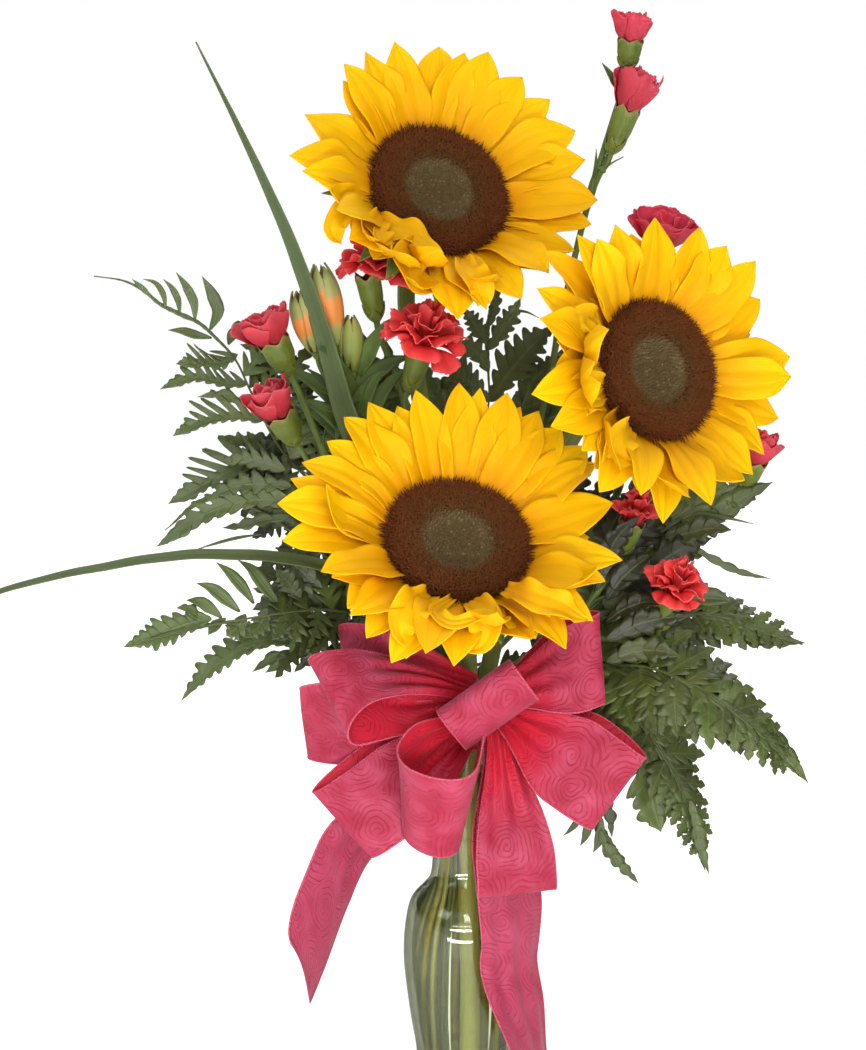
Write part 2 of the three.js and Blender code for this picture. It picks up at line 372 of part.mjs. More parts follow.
// bow
{
  const rAt = (z) => 17.7 - (190 - z) * 0.087;
  const band = solid(turned([[rAt(180) + GAP, 180], [rAt(180) + 1.4, 180], [rAt(190) + 1.4, 190], [rAt(190) + GAP, 190], [rAt(180) + GAP, 180]], VASE_SIDES));
  const knot = solid(new THREE.SphereGeometry(1, 12, 9).scale(7, 7, 11).translate(...KNOT));
  add('bow_tie', largest(band.add(knot).subtract(swollen(glass, GAP))), RIBBON);
  const sheet = (at, n) => solid(bend(new THREE.BoxGeometry(1, 1, 1, 1, n, 1), (x, y, z) => {
    const e = 1e-3, p = at(x, y), px = at(x + e, y).sub(at(x - e, y)), py = at(x, y + e).sub(at(x, y - e));
    return p.addScaledVector(px.cross(py).normalize(), z * RIBBON_T);
  }));
  for (const [name, loop] of Object.entries(LOOPS)) {
    const base = vec(loop.base), a = vec(loop.a), b = vec(loop.b), mid = a.clone().add(b).multiplyScalar(0.5).sub(base);
    const half = b.clone().sub(a).multiplyScalar(0.5);
    const edge = (near, far, sign) => vec(near).addScaledVector(vec(far), sign).multiplyScalar(0.5);
    const mA = edge(loop.near_a, loop.far_a, -1), cA = edge(loop.near_a, loop.far_a, 1);
    const mB = edge(loop.near_b, loop.far_b, -1), cB = edge(loop.near_b, loop.far_b, 1);
    add(name, sheet((x, y) => {
      const th = (y * 2) * Math.PI * 0.93, s = Math.sin(th), along = 0.5 * (1 + Math.cos(th));
      const k = Math.min(1, Math.max(0, (along + 0.05) / (loop.flare + 0.05))), wide = 0.3 + 0.7 * k * k * (3 - 2 * k);
      const out = 0.42 + 0.58 * along;
      return base.clone().addScaledVector(mid, along).addScaledVector(half, 2 * x * wide)
        .addScaledVector(mA.clone().lerp(mB, x + 0.5), s * out).addScaledVector(cA.clone().lerp(cB, x + 0.5), s * s * out);
    }, 20), RIBBON);
  }
  for (const [name, tail] of Object.entries(TAILS)) {
    const n = 16, left = smooth(tail.left, n), right = smooth(tail.right, n);
    const pick = (line, u) => {
      const i = Math.min(n - 1, Math.max(0, Math.floor(u * n)));
      return line[i].clone().lerp(line[i + 1], u * n - i);
    };
    add(name, sheet((x, y) => pick(left, y + 0.5).lerp(pick(right, y + 0.5), x + 0.5), n), RIBBON);
  }
}

// Where two pieces would meet, the later one gives way with a small gap.
const ORDER = ['vase', '_stem', '_disc', '_calyx', '_petals', 'carnation', 'lily_bud', 'bow_tie', 'bow_loop', 'bow_tail', 'grass', 'fern'];
const rank = (name) => ORDER.findIndex((word) => name === word || name.includes(word));
made.sort((p, q) => rank(p.name) - rank(q.name));
const boxes = (body) => body.boundingBox();
const near = (a, b) => [0, 1, 2].every((k) => a.min[k] - 1 < b.max[k] && b.min[k] - 1 < a.max[k]);
for (let i = 0; i < made.length; i++) {
  const beside = made.slice(0, i).filter((other) => near(boxes(made[i].body), boxes(other.body)));
  let body = made[i].body, cut = false;
  for (const other of beside) {
    if (body.intersect(other.body).volume() < 1e-6) {
      other.fat = other.fat ?? swollen(other.body, GAP * 0.5);
      if (body.intersect(other.fat).volume() < 1e-6) continue;
    }
    other.wide = other.wide ?? swollen(other.body, GAP * 1.3);
    body = largest(body.subtract(other.wide.add(other.body)));
    cut = true;
  }
  if (cut) {
    const plain = body.simplify(0.05);
    if (beside.every((other) => plain.intersect(other.body).volume() < 1e-9)) body = plain;
  }
  made[i].body = body;
}

// water: the inside of the vase up to the waterline, round the stems
{
  const inner = VASE_INNER.filter((p) => p[1] < WATER_TOP).map((p) => [p[0] - GAP - 0.15, p[1] + (p[1] < 20 ? GAP : 0)]);
  let water = solid(turned([[0, WATER_TOP], [12.8, WATER_TOP], ...inner, [0, FLOOR + GAP]], VASE_SIDES));
  for (const piece of made) {
    if (piece.name === 'vase' || !near(boxes(piece.body), boxes(water))) continue;
    water = water.subtract(swollen(piece.body, GAP * 1.2));
  }
  made.push({ name: 'water', body: largest(water).simplify(0.05), material: WATER });
}

const group = new THREE.Group();
for (const piece of made) {
  const mesh = new THREE.Mesh(geometryOf(piece.body), piece.material.clone());
  mesh.geometry.computeVertexNormals();
  mesh.name = piece.name;
  group.add(mesh);
}

export default group;
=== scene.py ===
"""Sunflowers, spray carnations, alstroemeria buds, leather fern and lily grass in a
clear glass vase with a ribbon bow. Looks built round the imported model, in metres."""

import math

import bpy
import numpy as np
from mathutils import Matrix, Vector


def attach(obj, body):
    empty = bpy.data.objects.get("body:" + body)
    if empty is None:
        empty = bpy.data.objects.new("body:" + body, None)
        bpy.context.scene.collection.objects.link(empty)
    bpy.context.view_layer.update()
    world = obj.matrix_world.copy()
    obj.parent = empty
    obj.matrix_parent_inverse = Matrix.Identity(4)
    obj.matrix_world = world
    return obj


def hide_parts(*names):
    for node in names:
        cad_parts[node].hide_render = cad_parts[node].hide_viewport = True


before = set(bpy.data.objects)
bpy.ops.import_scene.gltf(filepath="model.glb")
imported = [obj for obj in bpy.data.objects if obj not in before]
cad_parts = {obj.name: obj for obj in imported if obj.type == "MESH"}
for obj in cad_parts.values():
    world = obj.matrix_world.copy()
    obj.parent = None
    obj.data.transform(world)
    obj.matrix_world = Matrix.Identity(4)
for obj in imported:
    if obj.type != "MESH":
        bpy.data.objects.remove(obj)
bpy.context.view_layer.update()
MM = 0.001
TAU = 2 * math.pi

# ---------------------------------------------------------------- camera
cam = bpy.data.objects.new("camera", bpy.data.cameras.new("camera"))
bpy.context.scene.collection.objects.link(cam)
cam.location = (-0.01535, -0.99027, 0.42167)
cam.rotation_euler = (math.radians(82), 0, 0)
cam.data.sensor_fit = "AUTO"
cam.data.sensor_width = 36
cam.data.lens = 36 * 2150 / 1050
cam.data.clip_start, cam.data.clip_end = 0.05, 50
bpy.context.scene.camera = cam

# ---------------------------------------------------------------- sizes shared with the imported model (mm)
GAP = 0.3
VASE_OUTER = [
    [20.6, 0], [22.0, 2.0], [23.2, 27.6], [26.6, 49], [29.4, 75], [28.4, 92],
    [25.7, 103], [20.2, 109.5], [16.9, 114], [15.4, 130], [15.6, 158],
    [16.4, 175], [17.7, 190], [19.4, 200], [20.6, 204], [20.2, 206]]
VASE_INNER = [
    [18.9, 205.4], [16.6, 195], [14.2, 175], [13.1, 158], [12.8, 130],
    [13.6, 114.5], [17.2, 108.5], [22.6, 101.5], [24.8, 91], [25.6, 75],
    [22.8, 49], [19.6, 27.6], [18.4, 18.5], [14.0, 16.2]]
FLOOR, WATER_TOP = 16.2, 118
LANES = {
    "sun_front": [1.06, -7.66], "sun_upper": [-6.09, 5.26], "sun_right": [7.31, 3.17],
    "spray_a": [-2.04, 0.12], "spray_b": [-6.47, -2.71], "spray_c": [0.31, 3.04],
    "spray_d": [3.18, 8.12], "spray_e": [7.41, -6.24], "lily": [-9.47, -5.1],
    "grass_tall": [-5.1, -6.09], "grass_arched": [-4.98, -9.64],
    "fern_1": [-8.69, -0.2], "fern_2": [-10.95, -2.09], "fern_3": [-7.78, -7.99],
    "fern_4": [-11.02, 1.67], "fern_5": [-0.76, 9.19], "fern_6": [11.03, -1.6],
    "fern_7": [7.73, -2.86], "fern_8": [10.23, -4.44], "fern_9": [6.37, 9.15],
    "fern_10": [1.54, 11.04], "fern_11": [-3.32, 10.64], "fern_12": [0.29, 6.43]}
SPREAD = [[18, 1.5], [50, 1.78], [84, 1.62], [104, 1.18], [116, 1.0], [140, 1.0], [175, 1.05], [206, 1.34]]
HEADS = {
    "front": dict(c=[-4.99, -72.0, 284.77], n=[0.1521, -0.7124, 0.6851], e1=[0.9884, 0.1096, -0.1054], e2=[0.0, 0.6932, 0.7207], R=31.5),
    "upper": dict(c=[-13.06, 4.0, 435.63], n=[0.3009, -0.8167, 0.4924], e1=[0.9537, 0.2577, -0.1554], e2=[0.0, 0.5163, 0.8564], R=32.5),
    "right": dict(c=[83.16, -36.0, 356.57], n=[0.5273, -0.8085, 0.2614], e1=[0.8497, 0.5017, -0.1622], e2=[0.0, 0.3077, 0.9515], R=31.0),
}
# ray petals: angle, reach and lift of the tip, width, row (0 in front, 1 behind)
RAYS = {
    "front": [[-171.7, 75.8, 5.5, 13.6, 1], [-150.8, 68.2, 18.0, 14.9, 0], [-133.2, 67.8, 11.5, 14.0, 1], [-113.4, 70.3, 2.0, 14.0, 1],
              [-103.2, 69.2, 16.0, 17.9, 0], [-92.8, 68.7, 10.0, 13.9, 1], [-78.9, 56.2, 32.0, 9.7, 0], [-66.1, 65.8, 22.0, 15.6, 0],
              [-52.8, 71.3, 11.5, 16.6, 0], [-35.7, 68.7, 9.0, 11.8, 1], [-25.5, 60.2, 28.5, 16.7, 0], [-23.1, 65.0, 17.5, 11.0, 1],
              [-8.1, 69.9, 12.0, 13.8, 1], [16.8, 69.7, 12.0, 19.3, 0], [34.2, 72.7, 12.0, 11.5, 1], [41.4, 75.0, 12.5, 16.0, 0],
              [51.6, 72.3, 14.0, 11.6, 1], [61.8, 72.7, 16.0, 15.2, 0], [68.1, 70.4, 16.0, 8.0, 1], [74.2, 73.8, 18.0, 12.5, 1],
              [83.7, 73.2, 17.5, 9.8, 1], [85.2, 71.1, 11.0, 20.6, 0], [91.1, 74.5, 17.5, 8.9, 1], [106.0, 73.8, 14.0, 13.4, 0],
              [114.2, 68.4, 12.0, 9.8, 1], [123.0, 75.2, 12.0, 13.3, 1], [134.0, 74.1, 12.0, 14.1, 1], [146.2, 70.4, 12.0, 13.1, 1],
              [159.1, 73.8, 12.0, 12.1, 0], [166.8, 75.4, 12.0, 12.0, 1], [176.6, 59.5, 29.0, 14.3, 0], [177.5, 78.4, 12.0, 14.4, 1]],
    "upper": [[-178.4, 72.1, 12.0, 15.3, 0], [-171.2, 67.4, 14.5, 12.5, 1], [-158.5, 65.8, 23.0, 11.5, 0], [-150.1, 65.1, 19.0, 12.4, 1],
              [-137.4, 66.6, 16.0, 13.2, 1], [-133.2, 64.1, 25.0, 8.7, 0], [-120.8, 63.1, 26.0, 14.8, 0], [-113.4, 61.4, 28.0, 12.2, 0],
              [-103.3, 65.7, 23.0, 14.8, 0], [-101.6, 51.7, 35.5, 13.1, 0], [-84.9, 69.5, 9.5, 15.1, 1], [-74.9, 67.3, 14.5, 10.7, 1],
              [-72.9, 58.6, 30.5, 12.3, 0], [-59.7, 66.9, 15.5, 11.6, 1], [-45.2, 63.8, 20.5, 11.7, 1], [-31.0, 65.4, 23.5, 14.5, 0],
              [-9.2, 70.3, 12.0, 12.1, 1], [1.7, 72.8, 12.0, 16.9, 0], [18.7, 71.2, 12.0, 14.2, 1], [31.0, 73.4, 12.0, 16.2, 0],
              [45.6, 71.5, 14.0, 16.2, 1], [58.8, 71.7, 13.0, 15.3, 0], [74.3, 72.6, 15.5, 16.2, 1], [82.8, 69.2, 13.0, 9.5, 1],
              [91.7, 72.8, 8.5, 16.2, 0], [109.8, 72.6, 12.0, 16.1, 0], [122.7, 71.1, 12.0, 12.2, 1], [133.3, 70.3, 12.0, 11.2, 1],
              [162.3, 68.9, 11.5, 15.5, 1]],
    "right": [[-169.7, 56.4, 31.5, 12.6, 0], [-163.7, 72.5, 5.5, 17.0, 0], [-160.4, 55.7, 31.5, 10.9, 0], [-151.2, 69.2, 6.5, 14.4, 1],
              [-126.3, 63.5, 24.0, 15.2, 0], [-121.4, 69.0, 6.5, 14.6, 1], [-110.2, 64.6, 17.5, 12.9, 1], [-93.2, 61.2, 27.0, 13.8, 0],
              [-91.5, 69.1, 6.0, 12.3, 1], [-77.1, 63.3, 19.5, 13.1, 1], [-61.7, 57.3, 26.5, 13.2, 1], [-42.0, 64.0, 8.0, 13.0, 1],
              [-24.7, 71.2, -4.0, 11.1, 0], [-9.8, 73.0, -2.0, 15.0, 0], [2.6, 66.4, 14.0, 13.9, 1], [11.1, 71.0, 10.0, 20.5, 0],
              [35.1, 69.1, 5.5, 14.9, 1], [49.6, 69.9, 16.5, 13.8, 0], [61.4, 67.5, 12.0, 13.8, 1], [75.0, 68.0, 12.0, 15.5, 0],
              [96.8, 66.0, 12.0, 18.9, 0], [119.2, 65.6, 15.5, 9.7, 1], [131.0, 64.8, 16.5, 10.5, 1], [133.8, 70.9, 11.0, 13.1, 0],
              [141.6, 73.7, -1.5, 11.4, 1], [156.9, 69.7, 2.0, 12.1, 1], [169.8, 68.2, 8.5, 12.8, 1], [176.0, 50.7, 35.0, 11.8, 0]],
}
# petals curled forward over the disc or the bow: route, half width, roll
CURLS = {
    "front": [([[-7.3, -97.0, 265.1], [-14.1, -112.0, 261.8], [-7.5, -119.0, 258.9], [6.5, -116.0, 261.7], [11.0, -108.0, 263.4]], 3.8, 0.5),
              ([[-16.6, -96.0, 266.6], [-24.1, -110.0, 264.0], [-27.3, -117.0, 256.0], [-24.9, -112.0, 247.9]], 8.0, 0.3),
              ([[0.3, -97.0, 264.2], [6.6, -112.0, 260.1], [4.9, -116.0, 250.8], [-1.6, -112.0, 244.9]], 7.0, -0.3),
              ([[15.1, -94.0, 268.8], [25.9, -107.0, 267.7], [37.4, -110.0, 264.0], [49.6, -103.0, 256.7]], 7.0, 0.2)],
    "upper": [([[-45.5, -11.0, 423.4], [-34.5, -21.0, 419.6], [-22.5, -26.0, 415.4], [-10.6, -25.0, 408.2]], 6.8, 0.45),
              ([[-37.4, -14.0, 425.6], [-40.6, -28.0, 419.4], [-37.0, -32.0, 411.5], [-30.9, -26.0, 407.1]], 6.2, 0.9),
              ([[-47.4, -8.0, 429.2], [-55.1, -20.0, 426.5], [-59.4, -24.0, 419.4], [-56.6, -18.0, 412.3]], 5.4, -0.3),
              ([[-42.0, -10.0, 426.5], [-47.9, -22.0, 422.0], [-48.3, -24.0, 415.9], [-45.3, -20.0, 413.6]], 4.6, 0.4),
              ([[-21.2, -22.0, 411.4], [-26.4, -34.0, 407.2], [-22.8, -36.0, 398.5], [-14.0, -28.0, 391.2]], 7.6, 0.3),
              ([[-2.4, -24.0, 406.1], [1.0, -34.0, 401.0], [6.3, -36.0, 394.1], [4.7, -28.0, 385.0]], 6.4, -0.2)],
    "right": [([[61.1, -52.0, 348.5], [52.3, -64.0, 352.9], [45.3, -66.0, 351.3], [40.6, -60.0, 345.6]], 6.2, 0.5),
              ([[60.1, -54.0, 343.4], [51.4, -66.0, 346.1], [46.1, -68.0, 341.1], [51.8, -62.0, 334.5]], 5.6, -0.4),
              ([[71.4, -56.0, 333.1], [65.9, -70.0, 329.2], [61.7, -70.0, 321.5], [64.0, -64.0, 315.6]], 7.6, 0.2),
              ([[56.0, -46.0, 375.2], [49.9, -58.0, 381.0], [44.6, -60.0, 375.9], [44.1, -56.0, 366.2]], 6.4, 0.3)],
}
SUN_ROUTES = {
    "front": [[0.5, -18, 228], [-3, -36, 248]],
    "upper": [[-12, 12, 260], [-20, 24, 330], [-28, 34, 385]],
    "right": [[20, 8, 250], [38, 12, 300], [55, 8, 332]],
}
BLOOMS = {
    "carnation_1": dict(base=[-41.7, 8.0, 378.1], centre=[-47.4, 2.0, 408.4], radius=15.5),
    "carnation_2": dict(base=[-26.3, -8.0, 346.9], centre=[-18.1, -14.0, 373.6], radius=18.5),
    "carnation_3": dict(base=[-81.1, -9.0, 354.3], centre=[-91.8, -14.0, 376.3], radius=12.5),
    "carnation_4": dict(base=[-77.3, -22.0, 323.5], centre=[-88.4, -28.0, 343.0], radius=11.5),
    "carnation_5": dict(base=[74.4, 24.0, 493.5], centre=[76.3, 22.0, 511.0], radius=8.6),
    "carnation_6": dict(base=[67.9, 24.0, 455.2], centre=[78.3, 20.0, 484.2], radius=10.5),
    "carnation_7": dict(base=[87.9, 16.0, 399.0], centre=[91.3, 8.0, 421.1], radius=15),
    "carnation_8": dict(base=[132.1, 28.0, 295.4], centre=[139.9, 20.0, 318.3], radius=13),
    "carnation_9": dict(base=[72.5, -2.0, 270.1], centre=[78.7, -8.0, 292.5], radius=13),
    "carnation_10": dict(base=[88.8, -20.0, 238.5], centre=[96.5, -30.0, 261.6], radius=15),
}
SPRAYS = {
    "spray_a": dict(trunk=[[-9, 1, 250], [-20, 0, 300]], arms={"carnation_1": [[-30, 4, 345]], "carnation_2": [[-25, -5, 328]]}),
    "spray_b": dict(trunk=[[-24, -6, 235], [-50, -8, 280]], arms={"carnation_3": [[-66, -7, 318]], "carnation_4": [[-66, -16, 303]]}),
    "spray_c": dict(trunk=[[16, 22, 262], [36, 32, 330], [48, 32, 390], [58.2, 28, 434]], arms={"carnation_5": [[69, 30, 470]], "carnation_6": [[63, 26, 445]]}),
    "spray_d": dict(trunk=[[30, 20, 235], [62, 30, 268]], arms={"carnation_7": [[80, 34, 320], [86, 28, 370]], "carnation_8": [[100, 36, 276], [122, 33, 283]]}),
    "spray_e": dict(trunk=[[26, -10, 220], [44, -9, 231]], arms={"carnation_9": [[60, -4, 250]], "carnation_10": [[68, -13, 231], [82, -17, 231]]}),
}
LILY = dict(trunk=[[-26, 2, 250], [-44, 6, 300], [-53, 7, 335]], buds={
    "lily_bud_1": dict(base=[-60.2, 6.0, 365.7], tip=[-67.9, 0.0, 403.0], radius=6),
    "lily_bud_2": dict(base=[-69.4, 4.0, 362.6], tip=[-77.1, -2.0, 391.3], radius=5.5),
    "lily_bud_3": dict(base=[-52.9, 6.0, 353.2], tip=[-53.6, 5.0, 379.6], radius=4.6)})
GRASS = {
    "grass_tall": dict(route=[[-20, -7, 240], [-40, -5, 295], [-55.8, -4.0, 336.5], [-66.0, -6.0, 373.2], [-80.1, -8.0, 414.0], [-100.0, -8.0, 458.6], [-121.8, -4.0, 502.1]], half=6.4, peak=0.34, taper=1.1, face=[-0.3, -1, 0.1]),
    "grass_arched": dict(route=[[-22, -19, 236], [-46, -21, 258], [-71.3, -24.0, 268.4], [-98.1, -30.0, 272.6], [-129.0, -36.0, 273.5], [-164.1, -42.0, 269.0], [-194.4, -48.0, 263.2], [-216.0, -52.0, 256.3], [-234.5, -54.0, 244.0]], half=3.3, peak=0.4, taper=0.55, face=[-0.1, -0.75, 0.75]),
}
FERNS = {
    "fern_1": dict(foot=[[-28, 14, 244], [-46, 20, 268]], rib=[[-64.3, 24.0, 291.1], [-83.4, 28.0, 319.4], [-102.4, 32.0, 348.6], [-117.0, 34.0, 368.9], [-135.3, 34.0, 385.4], [-153.8, 32.0, 393.5], [-174.7, 30.0, 396.4]], left=46, right=30, face=[-0.2, -1, 0.3]),
    "fern_2": dict(foot=[[-26, 5, 230], [-44, 9, 249]], rib=[[-63.9, 10.0, 264.5], [-82.6, 10.0, 278.7], [-103.4, 8.0, 290.8], [-121.9, 6.0, 293.5], [-140.1, 0.0, 280.0]], left=26, right=30, face=[0, -0.9, 0.5]),
    "fern_3": dict(foot=[[-26, -6, 226], [-44, -3, 238]], rib=[[-63.2, -6.0, 243.4], [-81.2, -16.0, 244.3], [-103.5, -24.0, 242.1], [-128.0, -30.0, 238.6], [-153.6, -36.0, 232.8]], left=30, right=24, face=[0, -0.75, 0.7]),
    "fern_4": dict(foot=[[-26, 10, 216], [-43, 15, 222]], rib=[[-59.7, 18.0, 224.6], [-79.1, 22.0, 223.8], [-101.0, 26.0, 219.1], [-120.4, 26.0, 209.3], [-134.8, 24.0, 195.4]], left=22, right=26, face=[0, -0.7, 0.75]),
    "fern_5": dict(foot=[[0, 26, 228], [1.5, 38, 252]], rib=[[2.6, 45.0, 278.6], [6.6, 52.0, 317.0], [12.3, 54.0, 350.9], [21.8, 52.0, 380.0], [30.3, 50.0, 400.2]], left=32, right=32, face=[0, -1, 0.1]),
    "fern_6": dict(foot=[[28, 0, 221], [45, 2, 231]], rib=[[63.2, 6.0, 246.0], [82.6, 16.0, 268.3], [106.7, 22.0, 286.6], [128.2, 24.0, 295.9], [144.8, 24.0, 299.3]], left=22, right=26, face=[0.3, -0.9, 0.4]),
    "fern_7": dict(foot=[[24, -5, 214], [42, 0, 219]], rib=[[63.2, 4.0, 227.3], [86.8, 6.0, 236.5], [110.3, 6.0, 238.9], [136.0, 4.0, 234.5], [158.1, 0.0, 225.7]], left=22, right=26, face=[0.2, -0.75, 0.7]),
    "fern_8": dict(foot=[[24, -12, 213], [42, -9, 216]], rib=[[62.3, -10.0, 218.2], [84.1, -24.0, 219.7], [105.9, -34.0, 211.6], [130.3, -40.0, 194.5], [153.1, -42.0, 171.8]], left=26, right=30, face=[0.3, -0.85, 0.5]),
    "fern_9": dict(foot=[[20, 20, 212], [35, 25, 212]], rib=[[50.8, 28.0, 207.9], [70.4, 30.0, 197.6], [89.9, 28.0, 175.7], [106.7, 22.0, 145.0], [115.9, 14.0, 112.4]], left=28, right=28, face=[0.3, -0.9, 0.3]),
    "fern_10": dict(foot=[[6, 21, 212], [16, 27, 209]], rib=[[26.8, 32.0, 197.6], [40.8, 38.0, 181.8], [52.9, 40.0, 156.2], [65.6, 36.0, 128.1], [84.4, 28.0, 102.1]], left=20, right=20, face=[0.2, -1, 0.1]),
    "fern_11": dict(foot=[[-14, 30, 222], [-22, 46, 234]], rib=[[-30, 60, 243], [-40, 78, 255], [-52, 98, 262], [-64, 116, 260], [-76, 132, 248]], left=30, right=30, face=[-0.3, 0.3, 0.9]),
    "fern_12": dict(foot=[[10, 28, 226], [18, 44, 240]], rib=[[26, 60, 250], [36, 80, 260], [48, 100, 264], [60, 118, 260], [72, 134, 246]], left=30, right=30, face=[0.3, 0.3, 0.9]),
}
LOOPS = {
    "bow_loop_1": dict(base=[6.1, -27.0, 211.0], a=[-58.9, -20.0, 238.5], b=[-52.3, -30.0, 206.1], near_a=[2, -9, 6], far_a=[-2, 6, -8], near_b=[2, -9, 6], far_b=[-2, 6, -8], flare=0.7),
    "bow_loop_2": dict(base=[2.4, -33.0, 208.2], a=[-70.8, -46.0, 228.0], b=[-52.6, -60.0, 193.8], near_a=[0, -8, 8], far_a=[2, 6, -8], near_b=[-6, -9, 28], far_b=[6, 6, 3], flare=0.7),
    "bow_loop_3": dict(base=[1.6, -28.0, 201.9], a=[-75.7, -42.0, 214.3], b=[-72.7, -20.0, 176.4], near_a=[0, -7, 4], far_a=[0, 7, -3], near_b=[4, -7, -6], far_b=[0, 7, -4], flare=0.7),
    "bow_loop_4": dict(base=[3.4, -31.0, 196.1], a=[-70.0, -38.0, 165.6], b=[-43.3, -52.0, 138.3], near_a=[3, -8, 0], far_a=[-2, 5, 2], near_b=[3, -8, 0], far_b=[-2, 5, 2], flare=0.6),
    "bow_loop_5": dict(base=[5.1, -37.0, 197.5], a=[-7.1, -78.0, 181.3], b=[-11.3, -62.0, 141.8], near_a=[-38, 0, 0], far_a=[10, 0, 0], near_b=[-31, 0, 0], far_b=[6, 0, 0], flare=0.5),
    "bow_loop_6": dict(base=[14.3, -31.0, 193.3], a=[4.5, -54.0, 120.3], b=[40.8, -42.0, 121.2], near_a=[2, -9, 0], far_a=[0, 7, 0], near_b=[2, -9, 0], far_b=[0, 7, 0], flare=0.8),
    "bow_loop_7": dict(base=[17.9, -32.0, 199.1], a=[56.3, -56.0, 152.9], b=[80.4, -48.0, 184.0], near_a=[-2, -9, 0], far_a=[3, 6, 4], near_b=[-1, -9, 3], far_b=[3, 6, 4], flare=0.6),
    "bow_loop_8": dict(base=[15.3, -27.0, 208.2], a=[62.8, -40.0, 207.4], b=[59.5, -30.0, 246.9], near_a=[0, -8, 1], far_a=[0, 8, 4], near_b=[0, -8, 1], far_b=[0, 8, 4], flare=0.8),
    "bow_loop_9": dict(base=[10.4, -40.0, 205.6], a=[-7.9, -66.0, 200.2], b=[23.6, -78.0, 226.6], near_a=[8.5, 2, -12], far_a=[-8.5, -2, 12], near_b=[8.5, 2, -12], far_b=[-8.5, -2, 12], flare=0.35),
}
TAILS = {
    "bow_tail_left": dict(left=[[1.6, -26.0, 189.7], [-28.6, -32.0, 172.9], [-61.1, -36.0, 150.9], [-72.1, -46.0, 131.8], [-78.8, -50.0, 115.7], [-80.7, -50.0, 103.1], [-79.4, -50.0, 97.4]], right=[[5.2, -30.0, 186.9], [-17.7, -16.0, 152.5], [-37.4, -13.0, 133.3], [-46.6, -18.0, 123.7], [-55.5, -20.0, 106.0], [-64.0, -22.0, 80.9], [-73.4, -24.0, 59.7]]),
    "bow_tail_right": dict(left=[[11.8, -24.0, 189.7], [6.1, -36.0, 165.5], [4.1, -46.0, 140.2], [5.1, -48.0, 117.4], [6.6, -44.0, 94.9], [6.3, -40.0, 82.5], [9.4, -44.0, 71.1], [18.8, -55.0, 50.0], [22.3, -58.0, 41.7]], right=[[15.4, -26.0, 187.8], [26.8, -22.0, 161.7], [32.4, -24.0, 133.7], [34.9, -24.0, 109.7], [34.7, -22.0, 90.7], [33.9, -20.0, 79.3], [36.3, -22.0, 60.5], [38.2, -24.0, 38.7], [39.6, -27.0, 23.2]]),
}


# ---------------------------------------------------------------- vectors and curves
def A(p):
    return np.asarray(p, float)


def unit(v):
    v = A(v)
    return v / np.maximum(np.linalg.norm(v, axis=-1, keepdims=True), 1e-12)


def respace(points, n):
    run = np.r_[0, np.cumsum(np.linalg.norm(np.diff(points, axis=0), axis=1))]
    t = np.linspace(0, run[-1], n + 1)
    return np.stack([np.interp(t, run, points[:, k]) for k in range(3)], 1)


def smooth(points, n):
    """n + 1 evenly spaced points on a centripetal curve through the points."""
    p = A(points)
    p = np.vstack([2 * p[0] - p[1], p, 2 * p[-1] - p[-2]])
    s = np.linspace(0, 1, 32, endpoint=False)[:, None]
    out = []
    for i in range(1, len(p) - 2):
        p0, p1, p2, p3 = p[i - 1:i + 3]
        d0, d1, d2 = [max(math.sqrt(np.linalg.norm(b - a)), 1e-4) for a, b in ((p0, p1), (p1, p2), (p2, p3))]
        t1 = ((p1 - p0) / d0 - (p2 - p0) / (d0 + d1) + (p2 - p1) / d1) * d1
        t2 = ((p2 - p1) / d1 - (p3 - p1) / (d1 + d2) + (p3 - p2) / d2) * d1
        out.append((2 * s**3 - 3 * s**2 + 1) * p1 + (s**3 - 2 * s**2 + s) * t1 + (3 * s**2 - 2 * s**3) * p2 + (s**3 - s**2) * t2)
    out.append(p[-2][None])
    return respace(np.vstack(out), n)


def lane(name):
    return np.array([[LANES[name][0] * s, LANES[name][1] * s, z] for z, s in SPREAD])


def along(points):
    return unit(np.gradient(points, axis=0))


def ease(x, a, b):
    t = np.clip((x - a) / (b - a), 0, 1)
    return t * t * (3 - 2 * t)


